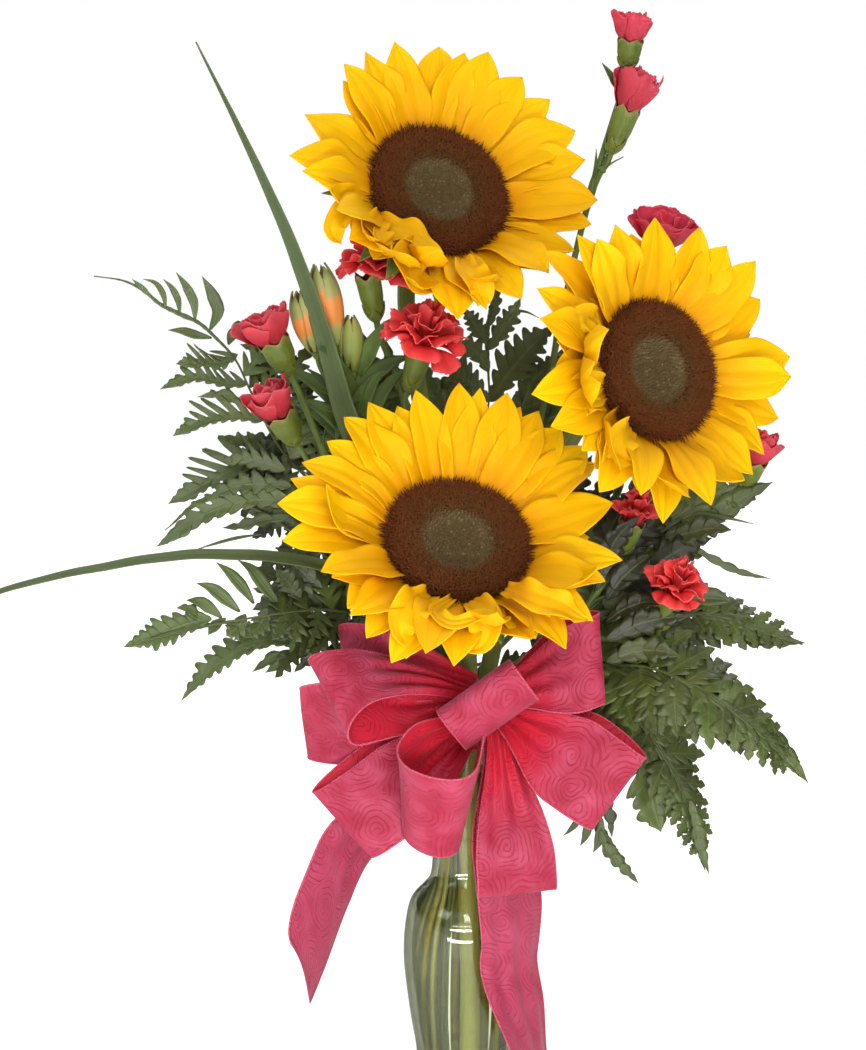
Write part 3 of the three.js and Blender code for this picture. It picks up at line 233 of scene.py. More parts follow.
# ---------------------------------------------------------------- meshes
class Body:
    """Gathers closed meshes with two vectors per point: pc = (along, across, chance; on fern leaves it holds a painted
    shade), pd = (side, kind, extra; on ribbon the kind slot holds a painted shade).
    """

    def __init__(self):
        self.v, self.f, self.m, self.a, self.b, self.n = [], [], [], [], [], 0

    def add(self, v, faces, a=None, b=None, mat=0):
        v = A(v).reshape(-1, 3)
        self.v.append(v)
        for f in faces:
            f = np.asarray(f, int)
            self.f.append(f + self.n)
            self.m.append(np.full(len(f), mat, int))
        self.a.append(np.broadcast_to(A(a if a is not None else [0, 0, 0]), v.shape).reshape(-1, 3))
        self.b.append(np.broadcast_to(A(b if b is not None else [0, 0, 0]), v.shape).reshape(-1, 3))
        self.n += len(v)
        return self

    def object(self, name, mats, node=None, smooth_faces=True):
        me = bpy.data.meshes.new(name)
        v = np.vstack(self.v) * MM
        me.vertices.add(len(v))
        me.vertices.foreach_set("co", v.astype(np.float32).ravel())
        loops = np.concatenate([f.ravel() for f in self.f])
        sizes = np.concatenate([np.full(len(f), f.shape[1]) for f in self.f])
        me.loops.add(len(loops))
        me.loops.foreach_set("vertex_index", loops.astype(np.int32))
        me.polygons.add(len(sizes))
        me.polygons.foreach_set("loop_start", np.r_[0, np.cumsum(sizes)[:-1]].astype(np.int32))
        for mat in mats:
            me.materials.append(mat)
        me.polygons.foreach_set("material_index", np.concatenate(self.m).astype(np.int32))
        me.polygons.foreach_set("use_smooth", np.full(len(sizes), smooth_faces))
        me.update(calc_edges=True)
        for key, rows in (("pc", self.a), ("pd", self.b)):
            made = me.attributes.new(key, "FLOAT_VECTOR", "POINT")
            made.data.foreach_set("vector", np.vstack(rows).astype(np.float32).ravel())
        ob = bpy.data.objects.new(name, me)
        bpy.context.scene.collection.objects.link(ob)
        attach(ob, "root")
        if node:
            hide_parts(node)
        return ob


def slope(p, axis, wrap):
    if wrap:
        return np.roll(p, -1, axis) - np.roll(p, 1, axis)
    return np.gradient(p, axis=axis)


def shell(p, thick, a=None, kind=0.0, extra=0.0, wrap=False):
    """Closed thin shells from a batch of grids p (k, n, m, 3). Returns points, faces, pc, pd."""
    p = A(p)
    if p.ndim == 3:
        p = p[None]
    k, n, m, _ = p.shape
    nor = unit(np.cross(np.gradient(p, axis=1), slope(p, 2, wrap)))
    th = np.broadcast_to(A(thick), (k, n, m))[..., None] / 2
    v = np.concatenate([(p + nor * th).reshape(k, -1, 3), (p - nor * th).reshape(k, -1, 3)], 1)
    ix, c = np.arange(n * m).reshape(n, m), n * m
    if wrap:
        nx = np.roll(ix, -1, 1)
        q = np.stack([ix[:-1], ix[1:], nx[1:], nx[:-1]], -1).reshape(-1, 4)
        lo = np.stack([ix[0], nx[0], nx[0] + c, ix[0] + c], -1)
        hi = np.stack([nx[-1], ix[-1], ix[-1] + c, nx[-1] + c], -1)
        rim = np.vstack([lo, hi])
    else:
        q = np.stack([ix[:-1, :-1], ix[1:, :-1], ix[1:, 1:], ix[:-1, 1:]], -1).reshape(-1, 4)
        edge = np.concatenate([ix[:-1, 0], ix[-1, :-1], ix[:0:-1, -1], ix[0, :0:-1]])
        nxt = np.roll(edge, -1)
        rim = np.stack([nxt, edge, edge + c, nxt + c], -1)
    one = np.vstack([q, q[:, ::-1] + c, rim])
    faces = (one[None] + (np.arange(k) * 2 * c)[:, None, None]).reshape(-1, 4)
    a = np.zeros((k, n, m, 3)) if a is None else np.broadcast_to(A(a), (k, n, m, 3))
    a = np.concatenate([a.reshape(k, -1, 3)] * 2, 1)
    b = np.zeros((k, 2 * c, 3))
    b[:, c:, 0] = 1
    b[..., 1] = np.broadcast_to(A(kind), (k,))[:, None] if np.ndim(kind) <= 1 else 0
    ex = np.broadcast_to(A(extra), (k, n, m)).reshape(k, -1)
    b[..., 2] = np.concatenate([ex, ex], 1)
    return v.reshape(-1, 3), [faces], a.reshape(-1, 3), b.reshape(-1, 3)


def tube(points, radius, sides=12, flutes=None, chance=0.0, kind=0.0, round_end=True):
    """A closed tube along points with a radius for each. Returns points, faces, pc, pd."""
    p = A(points)
    n = len(p)
    r = np.broadcast_to(A(radius), (n,)).copy()
    t = along(p)
    ref = np.array([0, 0, 1.0]) if abs(t[0][2]) < 0.9 else np.array([1.0, 0, 0])
    u = unit(np.cross(t[0], ref))
    us = [u]
    for i in range(1, n):
        u = unit(u - t[i] * (u @ t[i]))
        us.append(u)
    us = np.array(us)
    ws = np.cross(t, us)
    ang = np.arange(sides) / sides * TAU
    prof = np.ones((n, sides)) if flutes is None else flutes(np.linspace(0, 1, n)[:, None], ang[None])
    rr = r[:, None] * prof
    ring = p[:, None] + (us[:, None] * np.cos(ang)[None, :, None] + ws[:, None] * np.sin(ang)[None, :, None]) * rr[..., None]
    ends = np.array([p[0] - t[0] * (r[0] * 0.3 if round_end else 0), p[-1] + t[-1] * (r[-1] * 0.5 if round_end else 0)])
    v = np.vstack([ring.reshape(-1, 3), ends])
    ix = np.arange(n * sides).reshape(n, sides)
    nx = np.roll(ix, -1, 1)
    q = np.stack([ix[:-1], nx[:-1], nx[1:], ix[1:]], -1).reshape(-1, 4)
    tri = np.vstack([np.stack([nx[0], ix[0], np.full(sides, n * sides)], -1), np.stack([ix[-1], nx[-1], np.full(sides, n * sides + 1)], -1)])
    a = np.zeros((n * sides + 2, 3))
    a[:-2, 0] = np.repeat(np.linspace(0, 1, n), sides)
    a[-1, 0] = 1
    a[:-2, 1] = np.tile(ang / TAU, n)
    a[:, 2] = chance
    b = np.zeros_like(a)
    b[:, 1] = kind
    return v, [q, tri], a, b


def spikes(base, aim, length, radius, lean, seg=3, sides=4, a=None, power=0.8):
    """Many small tapered closed spikes at once."""
    base, aim, lean = A(base), unit(aim), A(lean)
    k = len(base)
    s = np.linspace(0, 1, seg + 1)
    length, radius = np.broadcast_to(A(length), (k,)), np.broadcast_to(A(radius), (k,))
    mid = base[:, None] + aim[:, None] * (length[:, None] * s)[..., None] + lean[:, None] * (length[:, None] * s**2)[..., None]
    ref = np.where(np.abs(aim[:, 2:3]) < 0.9, np.array([[0, 0, 1.0]]), np.array([[1.0, 0, 0]]))
    u = unit(np.cross(aim, ref))
    w = np.cross(aim, u)
    ang = np.arange(sides) / sides * TAU
    rr = radius[:, None] * np.maximum((1 - s) ** power, 0.12)[None]
    ring = mid[:, :, None] + (u[:, None, None] * np.cos(ang)[None, None, :, None] + w[:, None, None] * np.sin(ang)[None, None, :, None]) * rr[..., None, None]
    v = ring.reshape(k, -1, 3)
    ix = np.arange((seg + 1) * sides).reshape(seg + 1, sides)
    nx = np.roll(ix, -1, 1)
    q = np.stack([ix[:-1], nx[:-1], nx[1:], ix[1:]], -1).reshape(-1, 4)
    off = (np.arange(k) * (seg + 1) * sides)[:, None, None]
    side = (q[None] + off).reshape(-1, 4)
    if sides == 4:
        caps = np.stack([ix[0][::-1], ix[-1]])
        faces = [side, (caps[None] + off).reshape(-1, 4)]
    else:
        caps = np.stack([ix[0][::-1], ix[-1]])
        faces = [side, (caps[None] + off).reshape(-1, sides)]
    att = np.zeros((k, (seg + 1) * sides, 3))
    if a is not None:
        att[:] = A(a)[:, None]
    bb = np.zeros_like(att)
    bb[..., 2] = np.repeat(s, sides)[None]
    return v.reshape(-1, 3), faces, att.reshape(-1, 3), bb.reshape(-1, 3)


def lathe(profile, sides=96):
    """A closed solid of revolution about Z from a profile that starts and ends on the axis."""
    pr = A(profile)
    inner = pr[1:-1]
    ang = np.arange(sides) / sides * TAU
    ring = np.stack([inner[:, None, 0] * np.cos(ang), inner[:, None, 0] * np.sin(ang), np.repeat(inner[:, 1:2], sides, 1)], -1)
    n = len(inner)
    v = np.vstack([ring.reshape(-1, 3), [[0, 0, pr[0, 1]], [0, 0, pr[-1, 1]]]])
    ix = np.arange(n * sides).reshape(n, sides)
    nx = np.roll(ix, -1, 1)
    q = np.stack([ix[:-1], nx[:-1], nx[1:], ix[1:]], -1).reshape(-1, 4)
    tri = np.vstack([np.stack([nx[0], ix[0], np.full(sides, n * sides)], -1), np.stack([ix[-1], nx[-1], np.full(sides, n * sides + 1)], -1)])
    a = np.zeros((len(v), 3))
    a[:-2, 0] = np.repeat(np.linspace(0, 1, n), sides)
    a[:-2, 1] = np.tile(ang / TAU, n)
    return v, [q, tri], a, np.zeros((len(v), 3))


def turn_to(v, base, aim):
    """Moves points that stand on z = 0 so that they stand at base and look along aim."""
    z = unit(aim)
    ref = np.array([0, 0, 1.0]) if abs(z[2]) < 0.95 else np.array([1.0, 0, 0])
    x = unit(np.cross(ref, z))
    y = np.cross(z, x)
    v = A(v)
    return A(base) + v[..., 0:1] * x + v[..., 1:2] * y + v[..., 2:3] * z


# ---------------------------------------------------------------- material nodes
def rgb(r, g, b, a=1.0):
    lin = [c / 255 / 12.92 if c / 255 <= 0.04045 else ((c / 255 + 0.055) / 1.055) ** 2.4 for c in (r, g, b)]
    return (*lin, a)


class Paint:
    def __init__(self, name):
        self.m = bpy.data.materials.new(name)
        self.m.use_nodes = True
        self.t = self.m.node_tree
        self.t.nodes.clear()
        self.out = self.t.nodes.new("ShaderNodeOutputMaterial")

    def node(self, kind, **given):
        n = self.t.nodes.new("ShaderNode" + kind)
        for key, value in given.items():
            setattr(n, key, value)
        return n

    def put(self, socket, value):
        if isinstance(value, bpy.types.NodeSocket):
            self.t.links.new(value, socket)
        elif value is not None:
            socket.default_value = value

    def split(self, name):
        n, s = self.node("Attribute", attribute_name=name), self.node("SeparateXYZ")
        self.put(s.inputs[0], n.outputs["Vector"])
        return s.outputs[0], s.outputs[1], s.outputs[2]

    def join(self, x=0.0, y=0.0, z=0.0):
        n = self.node("CombineXYZ")
        for s, v in zip(n.inputs, (x, y, z)):
            self.put(s, v)
        return n.outputs[0]

    def math(self, op, a, b=None, c=None, clamp=False):
        n = self.node("Math", operation=op, use_clamp=clamp)
        for s, v in zip(n.inputs, (a, b, c)):
            if v is not None:
                self.put(s, v)
        return n.outputs[0]

    def vmath(self, op, a, b=None):
        n = self.node("VectorMath", operation=op)
        self.put(n.inputs[0], a)
        if b is not None:
            self.put(n.inputs[1], b)
        return n.outputs["Value"] if op in ("LENGTH", "DOT_PRODUCT") else n.outputs[0]

    def scale(self, v, k):
        n = self.node("VectorMath", operation="SCALE")
        self.put(n.inputs[0], v)
        self.put(n.inputs["Scale"], k)
        return n.outputs[0]

    def mix(self, fac, a, b, blend="MIX"):
        n = self.node("Mix", data_type="RGBA", blend_type=blend)
        self.put(n.inputs[0], fac)
        self.put(n.inputs[6], a)
        self.put(n.inputs[7], b)
        return n.outputs[2]

    def ramp(self, fac, stops):
        n = self.node("ValToRGB")
        e = n.color_ramp.elements
        while len(e) < len(stops):
            e.new(0.5)
        for slot, (pos, col) in zip(e, stops):
            slot.position = pos
            slot.color = col
        self.put(n.inputs[0], fac)
        return n.outputs[0]

    def span(self, x, a, b, c=0.0, d=1.0, kind="SMOOTHSTEP"):
        n = self.node("MapRange", interpolation_type=kind, clamp=True) if kind == "LINEAR" else self.node("MapRange", interpolation_type=kind)
        for s, v in zip(n.inputs, (x, a, b, c, d)):
            self.put(s, v)
        return n.outputs[0]

    def noise(self, vector=None, scale=5.0, detail=2.0, rough=0.5, distort=0.0, out=0):
        n = self.node("TexNoise")
        if vector is not None:
            self.put(n.inputs["Vector"], vector)
        n.inputs["Scale"].default_value = scale
        n.inputs["Detail"].default_value = detail
        n.inputs["Roughness"].default_value = rough
        n.inputs["Distortion"].default_value = distort
        return n.outputs[out]

    def position(self):
        return self.node("TexCoord").outputs["Object"]

    def bump(self, height, strength=0.3, distance=0.001, normal=None):
        n = self.node("Bump")
        n.inputs["Strength"].default_value = strength
        n.inputs["Distance"].default_value = distance
        self.put(n.inputs["Height"], height)
        if normal is not None:
            self.put(n.inputs["Normal"], normal)
        return n.outputs[0]

    def principled(self, color, rough=0.5, normal=None, **sockets):
        n = self.node("BsdfPrincipled")
        self.put(n.inputs["Base Color"], color)
        self.put(n.inputs["Roughness"], rough)
        if normal is not None:
            self.put(n.inputs["Normal"], normal)
        for key, value in sockets.items():
            self.put(n.inputs[key.replace("_", " ")], value)
        return n

    def leafy(self, color, glow, share, rough=0.5, normal=None, **sockets):
        """A thin sheet of plant or cloth that lets part of the light through."""
        p = self.principled(color, rough, normal, **sockets)
        tr = self.node("BsdfTranslucent")
        self.put(tr.inputs["Color"], glow)
        if normal is not None:
            self.put(tr.inputs["Normal"], normal)
        mx = self.node("MixShader")
        mx.inputs[0].default_value = share
        self.put(mx.inputs[1], p.outputs[0])
        self.put(mx.inputs[2], tr.outputs[0])
        self.put(self.out.inputs[0], mx.outputs[0])
        return self.m

    def solid(self, shader):
        self.put(self.out.inputs[0], shader.outputs[0])
        return self.m


def ray_petal_paint():
    p = Paint("ray_petal")
    u, v, r = p.split("pc")
    side, kind, extra = p.split("pd")
    streak = p.noise(p.join(p.math("MULTIPLY", v, 3.6), p.math("MULTIPLY", u, 0.7), p.math("MULTIPLY", r, 40.0)), 1.6, 3.0, 0.55)
    # deeper amber towards the petal's foot: partly the petal's own colour, partly painted shade next to the disc
    col = p.ramp(u, [(0.0, rgb(186, 106, 0)), (0.12, rgb(214, 146, 0)), (0.34, rgb(232, 178, 3)), (0.7, rgb(240, 196, 6)), (1.0, rgb(243, 203, 10))])
    col = p.mix(p.span(streak, 0.50, 0.80, 0.0, 0.40), col, rgb(222, 148, 0))
    # painted light: lighter yellow along the raised edges of the cupped petal, whose middle stays deeper
    edge = p.math("POWER", p.math("ABSOLUTE", v), 4.0)
    col = p.mix(p.math("MULTIPLY", edge, 0.35), col, rgb(255, 208, 18))
    # painted shade: darker amber along the two grooves of the petal
    rib = p.math("ABSOLUTE", p.math("SUBTRACT", p.math("ABSOLUTE", v), 0.34))
    col = p.mix(p.span(rib, 0.0, 0.10, 0.20, 0.0), col, rgb(224, 154, 0))
    col = p.mix(p.math("MULTIPLY", side, 0.35), col, rgb(222, 170, 20))
    tone = p.span(r, 0.0, 1.0, 0.90, 1.0, "LINEAR")
    col = p.mix(1.0, col, p.join(1.0, tone, tone), "MULTIPLY")
    lines = p.noise(p.join(p.math("MULTIPLY", v, 15.0), p.math("MULTIPLY", u, 1.5), r), 1.0, 2.0)
    normal = p.bump(lines, 0.35, 0.0004)
    return p.leafy(col, p.mix(0.3, col, rgb(255, 206, 0)), 0.30, 0.5, normal, Specular_IOR_Level=0.10)


def floret_paint():
    p = Paint("floret")
    rr, kind, r = p.split("pc")
    side, k2, s = p.split("pd")
    col = p.ramp(rr, [(0.0, rgb(82, 68, 42)), (0.30, rgb(88, 74, 46)), (0.45, rgb(100, 84, 56)), (0.53, rgb(96, 72, 42)), (0.60, rgb(104, 68, 36)), (0.84, rgb(110, 62, 32)), (1.0, rgb(90, 50, 24))])
    col = p.mix(p.span(r, 0.0, 1.0, 0.0, 0.40, "LINEAR"), col, rgb(50, 28, 12))
    inner = p.math("LESS_THAN", rr, 0.50)
    speck = p.math("MULTIPLY", p.math("GREATER_THAN", r, 0.90), inner)
    col = p.mix(p.math("MULTIPLY", speck, 0.30), col, rgb(140, 124, 88))
    tips = p.math("MULTIPLY", p.span(s, 0.45, 1.0), p.math("SUBTRACT", 1.0, inner))
    col = p.mix(p.math("MULTIPLY", tips, 0.35), col, rgb(116, 52, 18))
    return p.solid(p.principled(col, 0.8, None, Specular_IOR_Level=0.08))


def bract_paint():
    p = Paint("bract")
    u, v, r = p.split("pc")
    side, kind, extra = p.split("pd")
    n = p.noise(p.position(), 420.0, 3.0)
    col = p.ramp(u, [(0.0, rgb(92, 106, 36)), (0.5, rgb(76, 94, 32)), (1.0, rgb(100, 114, 44))])
    col = p.mix(p.span(n, 0.35, 0.75, 0.0, 0.5), col, rgb(54, 72, 24))
    col = p.mix(p.math("MULTIPLY", p.math("POWER", p.math("ABSOLUTE", v), 5.0), 0.5), col, rgb(140, 150, 84))
    col = p.mix(p.math("MULTIPLY", side, 0.4), col, rgb(116, 130, 66))
    hair = p.noise(p.position(), 1500.0, 2.0)
    return p.leafy(col, rgb(116, 140, 30), 0.10, 0.62, p.bump(hair, 0.5, 0.0005), Specular_IOR_Level=0.2, Sheen_Weight=0.1, Sheen_Roughness=0.4)


def stem_paint(name, top, low, hairy=0.5):
    p = Paint(name)
    u, v, r = p.split("pc")
    c = p.node("SeparateXYZ")
    p.put(c.inputs[0], p.position())
    z = c.outputs[2]
    col = p.mix(p.span(z, 0.13, 0.24), low, top)
    lines = p.noise(p.join(p.math("MULTIPLY", v, 46.0), p.math("MULTIPLY", u, 5.0), 0.0), 1.0, 3.0)
    col = p.mix(p.span(lines, 0.45, 0.75, 0.0, 0.3), col, rgb(158, 162, 92))
    spots = p.noise(p.position(), 160.0, 3.0)
    col = p.mix(p.span(spots, 0.52, 0.8, 0.0, 0.45), col, rgb(98, 104, 38))
    hair = p.noise(p.position(), 1300.0, 2.0)
    normal = p.bump(hair, hairy, 0.0005, p.bump(lines, 0.4, 0.0006))
    return p.solid(p.principled(col, 0.55, normal, Specular_IOR_Level=0.25, Subsurface_Weight=0.0))


def carnation_petal_paint():
    """kind: 0 an open bloom, 1 a bud with pink rims."""
    p = Paint("carnation_petal")
    u, v, r = p.split("pc")
    side, kind, extra = p.split("pd")
    streak = p.noise(p.join(p.math("MULTIPLY", v, 6.0), p.math("MULTIPLY", u, 1.2), p.math("MULTIPLY", r, 31.0)), 1.5, 3.0)
    bloom = p.ramp(u, [(0.0, rgb(196, 96, 60)), (0.2, rgb(212, 38, 38)), (0.6, rgb(230, 58, 58)), (0.88, rgb(234, 72, 72)), (0.97, rgb(238, 86, 86)), (1.0, rgb(240, 106, 106))])
    bud = p.ramp(u, [(0.0, rgb(180, 90, 60)), (0.2, rgb(160, 26, 34)), (0.55, rgb(192, 50, 62)), (0.86, rgb(206, 72, 86)), (0.97, rgb(212, 88, 102)), (1.0, rgb(224, 118, 128))])
    col = p.mix(kind, bloom, bud)
    col = p.mix(p.span(streak, 0.45, 0.8, 0.0, 0.28), col, rgb(184, 30, 38))
    col = p.mix(p.math("MULTIPLY", side, 0.25), col, rgb(212, 84, 90))
    tone = p.span(r, 0.0, 1.0, 0.84, 1.0, "LINEAR")
    col = p.mix(1.0, col, p.join(tone, tone, tone), "MULTIPLY")
    col = p.mix(p.math("MULTIPLY", extra, 0.45), col, rgb(218, 80, 106))
    return p.leafy(col, p.mix(0.5, col, rgb(248, 36, 42)), 0.40, 0.55, p.bump(streak, 0.3, 0.0004), Specular_IOR_Level=0.18)


def green_paint():
    """Carnation and alstroemeria greens: stems, calyxes and small leaves, by kind."""
    p = Paint("carnation_green")
    u, v, r = p.split("pc")
    side, kind, extra = p.split("pd")
    c = p.node("SeparateXYZ")
    p.put(c.inputs[0], p.position())
    stem = p.mix(p.span(c.outputs[2], 0.13, 0.24), rgb(140, 138, 62), rgb(84, 100, 42))
    calyx = p.ramp(u, [(0.0, rgb(118, 124, 42)), (0.35, rgb(88, 98, 30)), (0.8, rgb(90, 104, 36)), (0.94, rgb(112, 116, 54)), (1.0, rgb(136, 108, 66))])
    col = p.mix(p.math("GREATER_THAN", kind, 0.5), stem, calyx)
    leaf = p.ramp(u, [(0.0, rgb(84, 100, 44)), (1.0, rgb(64, 84, 40))])
    col = p.mix(p.math("GREATER_THAN", kind, 1.5), col, leaf)
    n = p.noise(p.position(), 200.0, 3.0)
    col = p.mix(p.span(n, 0.42, 0.75, 0.0, 0.6), col, rgb(66, 78, 24))
    lines = p.noise(p.join(p.math("MULTIPLY", v, 24.0), p.math("MULTIPLY", u, 2.0), r), 1.0, 2.0)
    normal = p.bump(lines, 0.3, 0.0004)
    return p.leafy(col, rgb(116, 140, 36), 0.06, 0.46, normal, Specular_IOR_Level=0.3)


def lily_paint(green):
    p = Paint("alstroemeria_green" if green else "alstroemeria_bud")
    u, v, r = p.split("pc")
    side, kind, extra = p.split("pd")
    u = p.math("ADD", u, p.math("MULTIPLY", p.math("SUBTRACT", r, 0.5), 0.22))
    if green:
        col = p.ramp(u, [(0.0, rgb(104, 118, 48)), (0.5, rgb(124, 138, 66)), (0.86, rgb(150, 154, 84)), (1.0, rgb(96, 116, 56))])
    else:
        col = p.ramp(u, [(0.0, rgb(132, 144, 76)), (0.30, rgb(152, 160, 96)), (0.38, rgb(212, 128, 58)), (0.64, rgb(218, 132, 60)), (0.72, rgb(150, 152, 92)), (0.90, rgb(138, 152, 96)), (1.0, rgb(106, 122, 66))])
    mid = p.span(p.math("ABSOLUTE", v), 0.0, 0.3, 0.35, 0.0)
    col = p.mix(mid, col, rgb(140, 132, 66))
    n = p.noise(p.join(p.math("MULTIPLY", v, 9.0), p.math("MULTIPLY", u, 1.5), p.math("MULTIPLY", r, 19.0)), 2.0, 3.0)
    col = p.mix(p.span(n, 0.5, 0.8, 0.0, 0.3), col, rgb(168, 110, 56))
    col = p.mix(p.math("MULTIPLY", p.math("POWER", p.math("ABSOLUTE", v), 6.0), 0.6), col, rgb(120, 98, 56))
    return p.leafy(col, rgb(226, 130, 40), 0.16, 0.45, p.bump(n, 0.3, 0.0004), Specular_IOR_Level=0.3)


def fern_paint():
    p = Paint("fern_leaf")
    u, v, r = p.split("pc")
    side, kind, extra = p.split("pd")
    n = p.noise(p.position(), 70.0, 3.0)
    fine = p.noise(p.position(), 900.0, 2.0)
    col = p.ramp(n, [(0.28, rgb(50, 60, 20)), (0.5, rgb(70, 83, 34)), (0.74, rgb(92, 104, 50))])
    # painted shade: the deeper a leaf lies in the bunch (its pc.z value), the darker brown-green it is painted, the
    # deepest nearly black
    col = p.mix(p.math("MULTIPLY", r, 0.85), col, rgb(50, 48, 20))
    col = p.mix(p.span(r, 0.72, 1.0, 0.0, 0.72), col, rgb(26, 23, 10))
    mid = p.span(p.math("ABSOLUTE", v), 0.0, 0.14, 0.35, 0.0)
    vein = p.math("MULTIPLY", p.span(extra, 0.0, 0.24, 0.28, 0.0), p.span(p.math("ABSOLUTE", v), 0.9, 0.3))
    col = p.mix(p.math("MAXIMUM", mid, vein), col, rgb(98, 112, 64))
    col = p.mix(p.math("MULTIPLY", side, 0.35), col, rgb(88, 104, 64))
    stalk = p.mix(p.span(fine, 0.3, 0.7), rgb(66, 76, 32), rgb(82, 88, 42))
    c = p.node("SeparateXYZ")
    p.put(c.inputs[0], p.position())
    away = p.vmath("LENGTH", p.join(c.outputs[0], c.outputs[1], 0.0))
    wet = p.math("MULTIPLY", p.span(c.outputs[2], 0.13, 0.20, 1.0, 0.0), p.math("LESS_THAN", away, 0.026))
    stalk = p.mix(wet, stalk, rgb(134, 138, 78))
    col = p.mix(p.math("GREATER_THAN", kind, 0.5), col, stalk)
    normal = p.bump(fine, 0.3, 0.0003, p.bump(p.math("MAXIMUM", mid, vein), 0.5, 0.0005))
    return p.leafy(col, rgb(96, 130, 20), 0.10, 0.40, normal, Specular_IOR_Level=0.36)


def grass_paint():
    p = Paint("grass_blade")
    u, v, r = p.split("pc")
    side, kind, extra = p.split("pd")
    lines = p.noise(p.join(p.math("MULTIPLY", v, 7.0), p.math("MULTIPLY", u, 0.7), 0.0), 2.0, 3.0)
    col = p.ramp(lines, [(0.3, rgb(56, 68, 32)), (0.5, rgb(70, 82, 44)), (0.72, rgb(86, 98, 58))])
    col = p.mix(p.span(p.math("ABSOLUTE", v), 0.0, 0.10, 0.4, 0.0), col, rgb(62, 76, 38))
    pale = p.math("POWER", p.math("ABSOLUTE", v), 3.0)
    col = p.mix(p.math("MULTIPLY", pale, 0.40), col, rgb(108, 122, 80))
    col = p.mix(p.span(u, 0.30, 0.80, 0.0, 0.35), col, rgb(92, 106, 80))
    col = p.mix(p.span(u, 0.97, 1.0), col, rgb(120, 116, 84))
    veins = p.math("SINE", p.math("MULTIPLY", v, 40.0))
    return p.leafy(col, rgb(120, 150, 60), 0.12, 0.42, p.bump(veins, 0.25, 0.0003, p.bump(lines, 0.3, 0.0004)), Specular_IOR_Level=0.16)


def ribbon_paint():
    """Satin ribbon embossed with loose spirals; pd = (side, painted shade: deep red near the knot and inside the loops,
    and below zero a paler mauve tint, width position in mm), pc = (length in mm, across, chance).
    """
    p = Paint("ribbon")
    s, v, r = p.split("pc")
    side, shade, w = p.split("pd")
    flat = p.join(p.math("DIVIDE", s, 21.0), p.math("DIVIDE", w, 21.0), p.math("MULTIPLY", r, 7.0))
    wob = p.node("TexNoise")
    p.put(wob.inputs["Vector"], flat)
    wob.inputs["Scale"].default_value = 1.3
    wob.inputs["Detail"].default_value = 2.0
    bent = p.vmath("ADD", flat, p.scale(p.vmath("SUBTRACT", wob.outputs["Color"], (0.5, 0.5, 0.5)), 0.42))
    cut = p.node("SeparateXYZ")
    p.put(cut.inputs[0], bent)
    plane = p.join(cut.outputs[0], p.math("ADD", cut.outputs[1], p.math("MULTIPLY", r, 13.0)), 0.0)
    vor = p.node("TexVoronoi", voronoi_dimensions="2D", feature="F1")
    p.put(vor.inputs["Vector"], plane)
    vor.inputs["Scale"].default_value = 1.0
    vor.inputs["Randomness"].default_value = 0.9
    away = p.node("SeparateXYZ")
    p.put(away.inputs[0], p.vmath("SUBTRACT", plane, vor.outputs["Position"]))
    ang = p.math("ARCTAN2", away.outputs[1], away.outputs[0])
    wave = p.math("SINE", p.math("ADD", p.math("MULTIPLY", vor.outputs["Distance"], 56.0), ang))
    line = p.span(wave, 0.45, 0.95)
    thin = p.noise(flat, 3.4, 2.0)
    line = p.math("MULTIPLY", line, p.span(thin, 0.34, 0.58, 0.12, 1.0))
    # random light and dark patches: partly cloth tone, partly painted satin sheen and fold shade
    cloth = p.noise(p.join(p.math("MULTIPLY", s, 0.09), p.math("MULTIPLY", w, 0.09), r), 1.0, 3.0)
    face = p.ramp(cloth, [(0.3, rgb(158, 35, 60)), (0.5, rgb(172, 54, 80)), (0.8, rgb(188, 80, 108))])
    face = p.mix(p.math("MAXIMUM", p.math("MULTIPLY", shade, -1.0), 0.0), face, rgb(172, 72, 104))
    face = p.mix(p.math("MULTIPLY", line, 0.52), face, rgb(150, 30, 60))
    # painted shade: deep red where the shade value is high, near the knot and inside the loops
    deep = p.mix(p.math("MULTIPLY", line, 0.30), rgb(202, 26, 50), rgb(160, 14, 36))
    col = p.mix(p.math("MAXIMUM", shade, 0.0), face, deep)
    hem = p.span(p.math("ABSOLUTE", v), 0.925, 0.955)
    rim = p.span(p.math("ABSOLUTE", v), 0.955, 0.985)
    stitch = p.math("SINE", p.math("MULTIPLY", s, 5.2))
    col = p.mix(p.math("MULTIPLY", p.math("SUBTRACT", hem, rim), 0.5), col, rgb(176, 36, 66))
    col = p.mix(p.math("MULTIPLY", rim, 0.55), col, rgb(222, 104, 128))
    weave = p.math("MULTIPLY", p.math("SINE", p.math("MULTIPLY", s, 16.0)), p.math("SINE", p.math("MULTIPLY", w, 16.0)))
    normal = p.bump(weave, 0.12, 0.0002)
    normal = p.bump(p.math("MULTIPLY", line, -1.0), 0.7, 0.0005, normal)
    normal = p.bump(p.math("MULTIPLY", stitch, hem), 0.5, 0.0003, normal)
    return p.leafy(col, p.mix(0.6, col, rgb(225, 20, 50)), 0.22, 0.5, normal, Specular_IOR_Level=0.22, Sheen_Weight=0.12, Sheen_Roughness=0.35)


